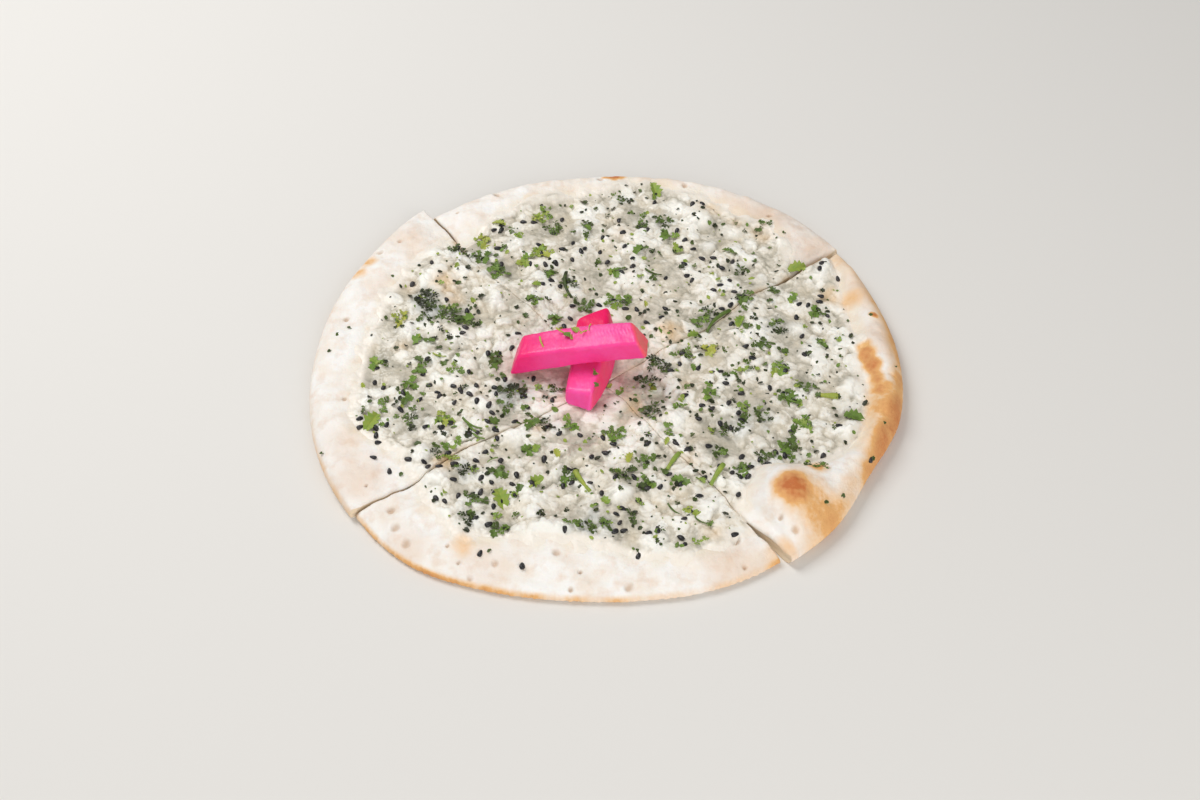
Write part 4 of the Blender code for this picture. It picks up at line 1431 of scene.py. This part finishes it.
def finish_seed(settings):
    """Black sesame: a matt, finely pitted coat that still takes a small blue-grey highlight."""
    made, tree, shader = new_finish("black_sesame_coat", Roughness=0.4, IOR=1.5)
    place = add_node(tree, "ShaderNodeTexCoord").outputs["Object"]
    tone = add_node(tree, "ShaderNodeAttribute", attribute_name="tone")
    colour = tinted(tree, (*settings.colour, 1), ((tone.outputs["Fac"], linear("#3A3433")),))
    tree.links.new(colour, shader.inputs["Base Color"])
    # Pits about 0.4 mm wide.
    pits = add_node(tree, "ShaderNodeTexNoise", {"Vector": place, "Scale": 2600.0, "Detail": 2.0})
    bump = add_node(
        tree, "ShaderNodeBump", {"Strength": 0.5, "Distance": 0.0002, "Height": pits.outputs["Fac"]}
    )
    tree.links.new(bump.outputs[0], shader.inputs["Normal"])
    return made


def finish_parsley(settings):
    """Chopped parsley: thin leaf that lets light through, from wilted dark green to yellow-green."""
    made, tree, shader = new_finish(
        "parsley_leaf",
        Roughness=0.5,
        IOR=1.42,
        Subsurface_Weight=0.1,
        Subsurface_Scale=0.001,
        Subsurface_Radius=(0.5, 1.0, 0.2),
    )
    place = add_node(tree, "ShaderNodeTexCoord").outputs["Object"]
    tone = add_node(tree, "ShaderNodeAttribute", attribute_name="tone")
    # Veins and bruises about 1.4 mm wide.
    veins = add_node(tree, "ShaderNodeTexNoise", {"Vector": place, "Scale": 700.0, "Detail": 3.0})
    varied = add_node(
        tree,
        "ShaderNodeMath",
        {0: veins.outputs["Fac"], 1: 0.5, 2: tone.outputs["Fac"]},
        operation="MULTIPLY_ADD",
    )
    greener = add_node(tree, "ShaderNodeMapRange", {0: varied.outputs[0], 1: 0.3, 2: 0.95})
    paler = add_node(tree, "ShaderNodeMapRange", {0: varied.outputs[0], 1: 0.88, 2: 1.3})
    tints = ((greener.outputs[0], settings.fresh), (paler.outputs[0], settings.light))
    tree.links.new(tinted(tree, (*settings.dark, 1), tints), shader.inputs["Base Color"])
    bump = add_node(
        tree, "ShaderNodeBump", {"Strength": 0.4, "Distance": 0.0003, "Height": veins.outputs["Fac"]}
    )
    tree.links.new(bump.outputs[0], shader.inputs["Normal"])
    return made


def finish_pickle(settings):
    """Turnip pickled with beet: wet, slightly see-through flesh, deepest pink where the stain settled.

    The pink is also lightened with painted light on the tops and deepened with painted shade on the under
    stick's right side.
    """
    made, tree, shader = new_finish(
        "pickled_turnip_flesh",
        Roughness=0.35,
        IOR=1.36,
        Coat_Weight=0.1,
        Coat_Roughness=0.2,
        Subsurface_Weight=0.3,
        Subsurface_Scale=0.003,
        Subsurface_Radius=(1.0, 0.2, 0.4),
    )
    place = add_node(tree, "ShaderNodeTexCoord").outputs["Object"]
    stains = {
        name: add_node(tree, "ShaderNodeAttribute", attribute_name=name).outputs["Fac"]
        for name in ("deep", "light", "coral")
    }
    # Blotches about 9 mm wide.
    patches = add_node(
        tree, "ShaderNodeTexNoise", {"Vector": place, "Scale": 110.0, "Detail": 5.0, "Roughness": 0.6}
    )
    blotched = add_node(tree, "ShaderNodeMapRange", {0: patches.outputs["Fac"], 1: 0.45, 2: 0.75, 4: 0.45})
    tints = (
        (stains["light"], settings.light),
        (stains["deep"], settings.deep),
        (stains["coral"], settings.coral),
        (blotched.outputs[0], settings.deep),
    )
    tree.links.new(tinted(tree, (*settings.pink, 1), tints), shader.inputs["Base Color"])
    # Strands under a millimetre wide, drawn out along the sticks.
    fibres = add_node(tree, "ShaderNodeMapping", {"Vector": place, "Scale": (1.0, 0.35, 0.6)})
    strands = add_node(
        tree, "ShaderNodeTexNoise", {"Vector": fibres.outputs[0], "Scale": 1500.0, "Detail": 3.0}
    )
    bump = add_node(
        tree, "ShaderNodeBump", {"Strength": 0.4, "Distance": 0.0003, "Height": strands.outputs["Fac"]}
    )
    tree.links.new(bump.outputs[0], shader.inputs["Normal"])
    return made


def finish_floor(settings):
    """Matt paper: pale and without a highlight, so that the shadow under the bread shows."""
    made, _, shader = new_finish("matt_paper_floor", Roughness=0.9)
    shader.inputs["Base Color"].default_value = (*settings.floor, 1)
    return made


# ---------------------------------------------------------------------------------------------------------
# The stage.

# The camera stands where the real bread was seen from, and looks at the target.
CAMERA_TARGET = mm(-2.49, -13.87, 0)
CAMERA_DISTANCE = 0.60117
CAMERA_TIP = 48.2566  # degrees that it looks down
CAMERA_ROLL = 0.9744
CAMERA_LENS = 50
CAMERA_SENSOR = 36
# The two soft lights as (name, place, width). Both point at the bread.
SOFT_LIGHTS = (("key", (-0.5, 0.35, 0.8), 0.5), ("front", (0.38, -0.9, 0.4), 1.1))
FLOOR = ((-3, -3, 0), (3, -3, 0), (3, 3, 0), (-3, 3, 0))

# ---------------------------------------------------------------------------------------------------------
# Where the baker's toppings fell, in millimetres.

# Where the seeds lie thicker or thinner, as (x, y, radius, density added).
SEED_PATCHES = (
    (-44, -64, 26, 0.8), (-42, -18, 28, 0.6), (6, -66, 24, 0.55), (-8, 62, 22, 0.5), (18, 44, 32, 0.45),
    (40, -14, 20, 0.55), (-66, 24, 13, 0.7), (78, 28, 15, 0.4), (42, -46, 24, 0.4), (12, -44, 18, 0.4),
    (80, -20, 28, -0.3), (52, 76, 28, -0.3), (-54, 44, 18, -0.15),
)  # fmt: skip
# The same for the finely chopped parsley.
LITTER_PATCHES = (
    (0, -16, 34, 0.5), (-44, -22, 30, 0.35), (30, 2, 34, 0.4), (-44, 48, 24, 0.4), (14, -56, 34, 0.35),
    (60, -20, 34, 0.3), (-60, 20, 26, 0.3), (-4, 60, 30, 0.25), (64, 60, 26, -0.3), (84, -26, 18, -0.25),
)  # fmt: skip
# Seeds that fell on the rim and along the edge of the cheese.
RIM_SEEDS = (
    (-80, -49), (-74, -54), (-68, -49), (-80, -39), (-79, -42), (-86, -35), (-41, -88), (-27, -92),
    (11, -88), (25, -80), (43, -79), (52, -78), (91, -46), (87, 43),
)  # fmt: skip
# Tiny flakes that fell on the rim.
RIM_FLAKES = (
    (97, -31), (96, -41), (92, -45), (104, -3), (80, -63), (74, -67), (3, -101), (-101, 1), (-99, 9),
    (-95, 13), (-82, 41), (-98, -46), (-38, -87), (68, 67), (97, 21), (-70, -55),
)  # fmt: skip
# Sprigs and clumps of parsley as (x, y, width, depth, tone, pieces). A low tone is wilted and dark.
HERBS = (
    (18, 91, 6, 9, 0.75, 1), (-43, 70, 5, 4, 0.9, 1), (-27, 76, 7, 8, 0.8, 4), (-22, 69, 7, 5, 0.25, 3),
    (-9, 69, 4, 8, 0.35, 4), (6, 86, 6, 5, 0.15, 2), (13, 74, 4, 9, 0.3, 3), (21, 74, 9, 5, 0.1, 3),
    (60, 71, 6, 4, 0.15, 2), (-58, 55, 8, 4, 0.1, 2), (-49, 62, 6, 8, 0.85, 5), (-26, 56, 8, 8, 0.85, 6),
    (-32, 51, 5, 6, 0.7, 3), (23, 66, 6, 6, 0.55, 3), (26, 60, 3, 6, 0.75, 2), (13, 58, 5, 4, 0.35, 2),
    (47, 56, 4, 5, 0.35, 2), (-49, 52, 8, 7, 0.35, 6), (-42, 45, 8, 8, 0.4, 7), (-23, 44, 6, 5, 0.35, 4),
    (3, 45, 5, 6, 0.6, 3), (50, 48, 4, 6, 0.25, 3), (72, 50, 9, 7, 0.78, 1), (-58, 47, 3, 3, 0.8, 1),
    (-15, 38, 6, 6, 0.15, 2), (-27, 37, 4, 3, 0.75, 1), (39, 45, 3, 3, 0.85, 1), (-68, 28, 8, 11, 0.06, 7),
    (-67, 20, 6, 6, 0.1, 4), (-59, 22, 9, 10, 0.3, 6), (-77, 18, 5, 9, 0.97, 2), (-53, 18, 6, 6, 0.4, 3),
    (-27, 29, 5, 7, 0.4, 3), (-20, 19, 6, 5, 0.5, 3), (-9, 27, 8, 6, 0.3, 4), (3, 29, 11, 6, 0.6, 6),
    (14, 27, 2, 3, 0.9, 1), (51, 31, 5, 9, 0.4, 5), (62, 36, 5, 3, 0.4, 2), (70, 33, 4, 5, 0.55, 2),
    (77, 25, 5, 7, 0.35, 3), (38, 24, 5, 6, 0.15, 3), (34, 19, 6, 6, 0.45, 4), (49, 20, 5, 6, 0.7, 1),
    (63, 18, 5, 7, 0.2, 5), (32, 12, 7, 5, 0.7, 1), (-68, 8, 7, 4, 0.45, 3), (28, 3, 9, 4, 0.3, 3),
    (37, 5, 6, 6, 0.95, 3), (56, 8, 6, 5, 0.35, 2), (78, 8, 3, 4, 0.35, 2), (-84, -4, 6, 6, 0.55, 3),
    (-67, -4, 4, 6, 0.45, 2), (-41, -2, 5, 8, 0.4, 4), (-55, -8, 5, 4, 0.4, 2), (18, -3, 8, 6, 0.12, 5),
    (14, -10, 8, 5, 0.12, 4), (31, -4, 3, 4, 0.5, 1), (47, -5, 6, 4, 0.6, 2), (62, -4, 5, 10, 0.6, 6),
    (72, -13, 8, 4, 0.4, 3), (-87, -16, 3, 3, 0.85, 1), (-70, -14, 6, 6, 0.5, 3), (-18, -16, 4, 6, 0.2, 3),
    (37, -16, 6, 7, 0.55, 4), (65, -18, 7, 7, 0.45, 4), (16, -15, 4, 3, 0.75, 1), (-33, -17, 12, 6, 0.06, 8),
    (-71, -21, 5, 5, 0.35, 3), (26, -22, 4, 7, 0.6, 3), (15, -25, 7, 7, 0.2, 5), (48, -22, 6, 4, 0.65, 2),
    (-36, -24, 6, 4, 0.25, 3), (-79, -25, 4, 6, 0.45, 2), (52, -28, 12, 4, 0.25, 6), (69, -30, 7, 7, 0.65, 4),
    (87, -27, 8, 6, 0.45, 1), (-69, -31, 4, 10, 0.15, 4), (-82, -33, 6, 9, 0.78, 1), (-57, -31, 6, 8, 0.8, 3),
    (-21, -32, 5, 6, 0.1, 3), (-27, -33, 6, 5, 0.5, 3), (-13, -32, 6, 6, 0.55, 3), (43, -33, 9, 5, 0.2, 5),
    (65, -34, 4, 4, 0.4, 2), (3, -36, 8, 7, 0.45, 6), (22, -33, 3, 5, 0.45, 2), (21, -39, 3, 3, 0.9, 1),
    (63, -42, 6, 9, 0.4, 6), (39, -43, 5, 6, 0.35, 4), (-53, -45, 7, 9, 0.65, 4), (-59, -46, 5, 6, 0.15, 3),
    (-26, -44, 5, 7, 0.55, 3), (-17, -46, 4, 4, 0.97, 1), (8, -47, 3, 5, 0.97, 1), (14, -48, 6, 5, 0.3, 4),
    (55, -46, 6, 5, 0.25, 4), (47, -51, 5, 7, 0.35, 4), (5, -54, 6, 5, 0.25, 3), (72, -51, 8, 4, 0.3, 3),
    (-48, -54, 7, 5, 0.12, 4), (-37, -54, 6, 6, 0.4, 4), (-13, -56, 6, 7, 0.35, 4), (14, -58, 7, 6, 0.5, 4),
    (32, -56, 4, 5, 0.72, 1), (26, -57, 5, 4, 0.6, 2), (-24, -59, 7, 6, 0.75, 1), (-35, -66, 7, 9, 0.77, 1),
    (-44, -66, 8, 5, 0.3, 3), (29, -70, 5, 4, 0.7, 2), (9, -72, 4, 4, 0.3, 2), (-46, -74, 5, 5, 0.15, 3),
    (-5, -76, 16, 5, 0.3, 8), (-36, -79, 7, 5, 0.35, 4),
)  # fmt: skip
# Bits of stalk as (x, y, length, turn, tone, kind), where kind 0 is stout, 1 short and hollow, and 2 thin.
STALKS = (
    (23, -48, 9, 62, 0.72, 0), (38, -54, 10, 62, 0.75, 0), (79, -17, 6, 0, 0.9, 1),
    (-8, -58, 9, 124, 0.85, 0), (-24, -60, 6, 50, 0.8, 0), (-61, 0, 5, 165, 0.85, 2),
    (-47, -33, 8, 150, 0.45, 2), (-46, -35, 7, 145, 0.5, 2), (-45, -37, 7, 140, 0.55, 2),
    (41, 20, 14, 52, 0.35, 2), (-15, 37, 13, 100, 0.15, 2), (17, 45, 7, 155, 0.25, 2),
    (58, 8, 7, 10, 0.3, 2), (56, 6, 5, 120, 0.3, 2), (-39, -49, 4, 30, 0.5, 2),
    (23, -69, 6, 140, 0.3, 2), (32, -74, 5, 150, 0.3, 2), (65, -18, 8, 130, 0.5, 2),
)  # fmt: skip
# The same for the bits that lie on each pickle.
PICKLE_STALKS = {
    "pickle_top": (
        (-23, -5.5, 6, 130, 1.4, 2), (-16, -1.5, 6, 175, 1.4, 2), (-8, -4, 5, 35, 1.2, 2),
        (-9.5, -3.5, 4, 145, 1.3, 2), (-6.5, -2, 3.5, 80, 1.1, 2),
    ),
    "pickle_under": ((-4, -13.5, 3.5, 125, 0.95, 2),),
}  # fmt: skip
# Flakes on each pickle, as (x, y, size, turn, tone).
PICKLE_FLAKES = {
    "pickle_top": ((-14, -4, 3.5, 170, 0.6), (-12, -2, 3, 120, 0.85), (-13, -5, 2, 60, 0.9)),
    "pickle_under": ((-4.5, -14.5, 2.5, 55, 0.45), (0.5, -17.5, 3.5, 145, 1.0), (-4, -19.5, 2, 0, 0.4)),
}  # fmt: skip


SEED_DRAW, PARSLEY_DRAW = 7, 12  # what the random draws start from
GOLDEN_ANGLE = 137.5  # degrees from one piece of a clump to the next
PIECE_AREA = 8.5  # of a clump, square millimetres for each piece


def patchy(spots, base):
    """A density over the plan: a base share, with more or less inside each spot."""
    patches = in_metres(spots)

    def density(x, y):
        return base + bumps(np.array([[x, y]]), patches)[0]

    return density


def sprigs(land, chance):
    """Places for the pieces of each sprig and clump, fanned out from its middle."""
    places = []
    for x, y, width, depth, tone, pieces in HERBS:
        if pieces == 1:
            heading = (0 if width > depth else 90) + chance.choice((-25, 25, 160, 200))
            size = 0.88 * max(width, depth)
            places.append(land.lay_on(x * MM, y * MM, heading, 0.16 * size * MM, size * MM, tone, 4))
            continue
        pieces = max(pieces, round(width * depth / PIECE_AREA))
        size = min(max(1.1 * math.sqrt(width * depth / pieces), 1.9), 3.7)
        kinds = (0, 1, 2, 2) if tone < 0.35 else (0, 1, 3, 3)
        turn = chance.uniform(0, 360)
        for i in range(pieces):
            heading = turn + GOLDEN_ANGLE * i
            away = ray(heading) * (width / 2, depth / 2) * 0.95 * math.sqrt((i + 0.4) / pieces)
            shade = tone + chance.uniform(-0.18, 0.18)
            lift = size * chance.uniform(0.04, 0.22)
            at = ((x + away[0]) * MM, (y + away[1]) * MM)
            way = heading + chance.uniform(-60, 60)
            places.append(land.lay_on(*at, way, lift * MM, size * MM, shade, chance.choice(kinds)))
    return places


class MANAKISH_OT_bake_crust(bpy.types.Operator):
    """Makes the four quarters of the bread, with their blistered rims and torn cut faces"""

    bl_idname = "manakish.bake_crust"
    bl_label = "Bake Crust"

    def execute(self, context):
        settings = context.scene.manakish.dough
        finish = finish_crust(settings)
        for name in QUARTERS:
            piece = make_crust(name, settings, finish)
            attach(piece, BODY)
            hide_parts("dough_" + name)
        return {"FINISHED"}


class MANAKISH_OT_melt_cheese(bpy.types.Operator):
    """Spreads the curds of white cheese over each quarter"""

    bl_idname = "manakish.melt_cheese"
    bl_label = "Melt Cheese"

    def execute(self, context):
        settings = context.scene.manakish
        finish = finish_cheese(settings.cheese)
        for name in QUARTERS:
            piece = make_cheese(name, settings.cheese, settings.dough, finish)
            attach(piece, BODY)
            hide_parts("cheese_" + name)
        return {"FINISHED"}


class MANAKISH_OT_cut_pickles(bpy.types.Operator):
    """Cuts the two sticks of pickled turnip that cross on top"""

    bl_idname = "manakish.cut_pickles"
    bl_label = "Cut Pickles"

    def execute(self, context):
        settings = context.scene.manakish.pickles
        finish = finish_pickle(settings)
        for name in STICKS:
            piece = make_stick(name, settings, finish)
            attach(piece, BODY)
            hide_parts(name)
        return {"FINISHED"}


class MANAKISH_OT_sow_seeds(bpy.types.Operator):
    """Sows the black seeds, thicker in places, with a few on the rim"""

    bl_idname = "manakish.sow_seeds"
    bl_label = "Sow Seeds"

    def execute(self, context):
        settings = context.scene.manakish.seeds
        chance = random.Random(SEED_DRAW)
        land = bread_ground()

        def describe():
            return 0.15 * MM, settings.length, max(0, chance.uniform(-0.4, 0.6)), chance.randrange(2)

        thicker = patchy(SEED_PATCHES, base=0.3)
        places = sow(
            land, chance, settings.count, apart=2.6 * MM, density=thicker, margin=1.5 * MM, describe=describe
        )
        for x, y in RIM_SEEDS:
            places.append(land.lay_on(x * MM, y * MM, chance.uniform(0, 180), *describe()))
        shapes = [
            seed_shape("seed_a", wide=0.6, high=0.4, taper=0.35),
            seed_shape("seed_b", wide=0.64, high=0.46, taper=0.25),
        ]
        finish = finish_seed(settings)
        lay("black_seeds", [p for p in places if p], shapes, finish, tilt=20, sizes=(0.88, 1.1), chance=3)
        return {"FINISHED"}


class MANAKISH_OT_scatter_parsley(bpy.types.Operator):
    """Scatters the parsley: sprigs and clumps, loose leaves, flakes and stalks"""

    bl_idname = "manakish.scatter_parsley"
    bl_label = "Scatter Parsley"

    def execute(self, context):
        settings = context.scene.manakish.parsley
        chance = random.Random(PARSLEY_DRAW)
        land = bread_ground()
        finish = finish_parsley(settings)

        def loose_leaf():
            size = chance.uniform(1.5, 3.2) * MM
            return 0.2 * size, size, chance.choice((0.0, 0.1, 0.2, 0.3, 0.45, 0.7)), chance.randrange(4)

        def flake():
            size = chance.uniform(0.7, 1.5) ** 1.8 * MM
            return 0.12 * size, size, chance.choice((0.0, 0.0, 0.1, 0.2, 0.5, 0.8)), chance.randrange(3)

        thicker = patchy(LITTER_PATCHES, base=0.45)
        leaves = sprigs(land, chance)
        leaves += sow(
            land, chance, settings.leaves, apart=3 * MM, density=thicker, margin=2.5 * MM, describe=loose_leaf
        )
        shapes = [
            sprig_shape("leaf_a_curly", seed=1, leaflets=6, wide=0.46, curl=0.6),
            sprig_shape("leaf_b_curly", seed=2, leaflets=5, wide=0.52, curl=0.5),
            sprig_shape("leaf_c_feathery", seed=3, leaflets=6, wide=0.28, curl=0.7),
            leaf_shape("leaf_d_chopped", CHOPPED, fold=0.45, bend=0.25),
            leaf_shape("leaf_e_whole", WHOLE, fold=0.7, bend=0.3, thick=0.03),
        ]
        lay("parsley_leaves", [p for p in leaves if p], shapes, finish, tilt=22, sizes=(0.9, 1.2), chance=5)

        flakes = sow(
            land, chance, settings.flakes, apart=1.3 * MM, density=thicker, margin=0.5 * MM, describe=flake
        )
        for x, y in RIM_FLAKES:
            flakes.append(land.lay_on(x * MM, y * MM, chance.uniform(0, 360), 0.1 * MM, 1.6 * MM, 0.2, 0))
        stalks = []
        for x, y, length, turn, tone, kind in STALKS:
            stalks.append(land.lay_on(x * MM, y * MM, turn, 0.5 * MM, length * MM, tone, kind))
        for name in STICKS:
            stick = Ground([name + "_cut"])
            for x, y, size, turn, tone in PICKLE_FLAKES[name]:
                flakes.append(stick.lay_on(x * MM, y * MM, turn, 0.4 * MM, size * MM, tone, 0))
            for x, y, length, turn, tone, kind in PICKLE_STALKS[name]:
                stalks.append(stick.lay_on(x * MM, y * MM, turn, 0.2 * MM, length * MM, tone, kind))
        shapes = [
            leaf_shape("flake_a", SCRAP, fold=0.4, bend=0.2, thick=0.1),
            leaf_shape("flake_b", SCRAP, fold=-0.3, bend=0.3, thick=0.1),
            leaf_shape("flake_c", SCRAP[::-1], fold=0.2, bend=-0.3, thick=0.12),
        ]
        lay("parsley_flakes", [p for p in flakes if p], shapes, finish, tilt=28, sizes=(0.85, 1.25), chance=9)
        shapes = [
            stalk_shape("stalk_a_stout", girth=0.17, bend=0.05),
            stalk_shape("stalk_b_short", girth=0.34, bend=0.03),
            stalk_shape("stalk_c_thin", girth=0.1, bend=0.22),
        ]
        lay("parsley_stalks", [p for p in stalks if p], shapes, finish, tilt=6, sizes=(0.95, 1.05), chance=11)
        return {"FINISHED"}


class MANAKISH_OT_set_stage(bpy.types.Operator):
    """Sets the pale floor, the soft lights and the camera"""

    bl_idname = "manakish.set_stage"
    bl_label = "Set Stage"

    def execute(self, context):
        settings = context.scene.manakish.stage
        scene = context.scene
        data = bpy.data.meshes.new("floor")
        data.from_pydata(FLOOR, [], [(0, 1, 2, 3)])
        data.materials.append(finish_floor(settings))
        floor = bpy.data.objects.new("floor", data)
        scene.collection.objects.link(floor)
        for name, place, width in SOFT_LIGHTS:
            lamp = bpy.data.lights.new(name, "AREA")
            lamp.size = width
            lamp.energy = getattr(settings, name)
            light = bpy.data.objects.new(name, lamp)
            light.location = place
            light.rotation_euler = (-Vector(place)).to_track_quat("-Z", "Y").to_euler()
            scene.collection.objects.link(light)
        world = bpy.data.worlds.new("soft_room")
        world.use_nodes = True
        world.node_tree.nodes["Background"].inputs["Color"].default_value = (1, 1, 1, 1)
        world.node_tree.nodes["Background"].inputs["Strength"].default_value = settings.room
        scene.world = world
        scene.view_settings.view_transform = "Standard"
        lens = bpy.data.cameras.new("camera")
        lens.lens = CAMERA_LENS
        lens.sensor_width = CAMERA_SENSOR
        camera = bpy.data.objects.new("camera", lens)
        tip, roll = math.radians(CAMERA_TIP), math.radians(CAMERA_ROLL)
        back = Vector((0, -math.cos(tip), math.sin(tip)))
        right = Vector((1, 0, 0))
        up = back.cross(right)
        axes = (
            math.cos(roll) * right + math.sin(roll) * up,
            math.cos(roll) * up - math.sin(roll) * right,
            back,
        )
        camera.matrix_world = Matrix(axes).transposed().to_4x4()
        camera.location = Vector(CAMERA_TARGET) + back * CAMERA_DISTANCE
        scene.collection.objects.link(camera)
        scene.camera = camera
        return {"FINISHED"}


class MANAKISH_PT_panel(bpy.types.Panel):
    """Lists the steps and sizes of the manakish"""

    bl_idname = "MANAKISH_PT_panel"
    bl_label = "Manakish"
    bl_space_type = "VIEW_3D"
    bl_region_type = "UI"
    bl_category = "Manakish"

    def draw(self, context):
        settings = context.scene.manakish
        for operator, group in STEPS:
            box = self.layout.box()
            box.operator(operator)
            for name in getattr(settings, group).__annotations__:
                box.prop(getattr(settings, group), name)


STEPS = (
    ("manakish.bake_crust", "dough"),
    ("manakish.melt_cheese", "cheese"),
    ("manakish.cut_pickles", "pickles"),
    ("manakish.sow_seeds", "seeds"),
    ("manakish.scatter_parsley", "parsley"),
    ("manakish.set_stage", "stage"),
)
CLASSES = (
    DoughSettings,
    CheeseSettings,
    SeedSettings,
    ParsleySettings,
    PickleSettings,
    StageSettings,
    ManakishSettings,
    MANAKISH_OT_bake_crust,
    MANAKISH_OT_melt_cheese,
    MANAKISH_OT_cut_pickles,
    MANAKISH_OT_sow_seeds,
    MANAKISH_OT_scatter_parsley,
    MANAKISH_OT_set_stage,
    MANAKISH_PT_panel,
)


def register():
    for item in CLASSES:
        bpy.utils.register_class(item)
    bpy.types.Scene.manakish = PointerProperty(type=ManakishSettings)


def unregister():
    del bpy.types.Scene.manakish
    for item in reversed(CLASSES):
        bpy.utils.unregister_class(item)


def main():
    register()
    bpy.ops.manakish.bake_crust()
    bpy.ops.manakish.melt_cheese()
    bpy.ops.manakish.cut_pickles()
    bpy.ops.manakish.sow_seeds()
    bpy.ops.manakish.scatter_parsley()
    bpy.ops.manakish.set_stage()


if __name__ == "__main__":
    main()
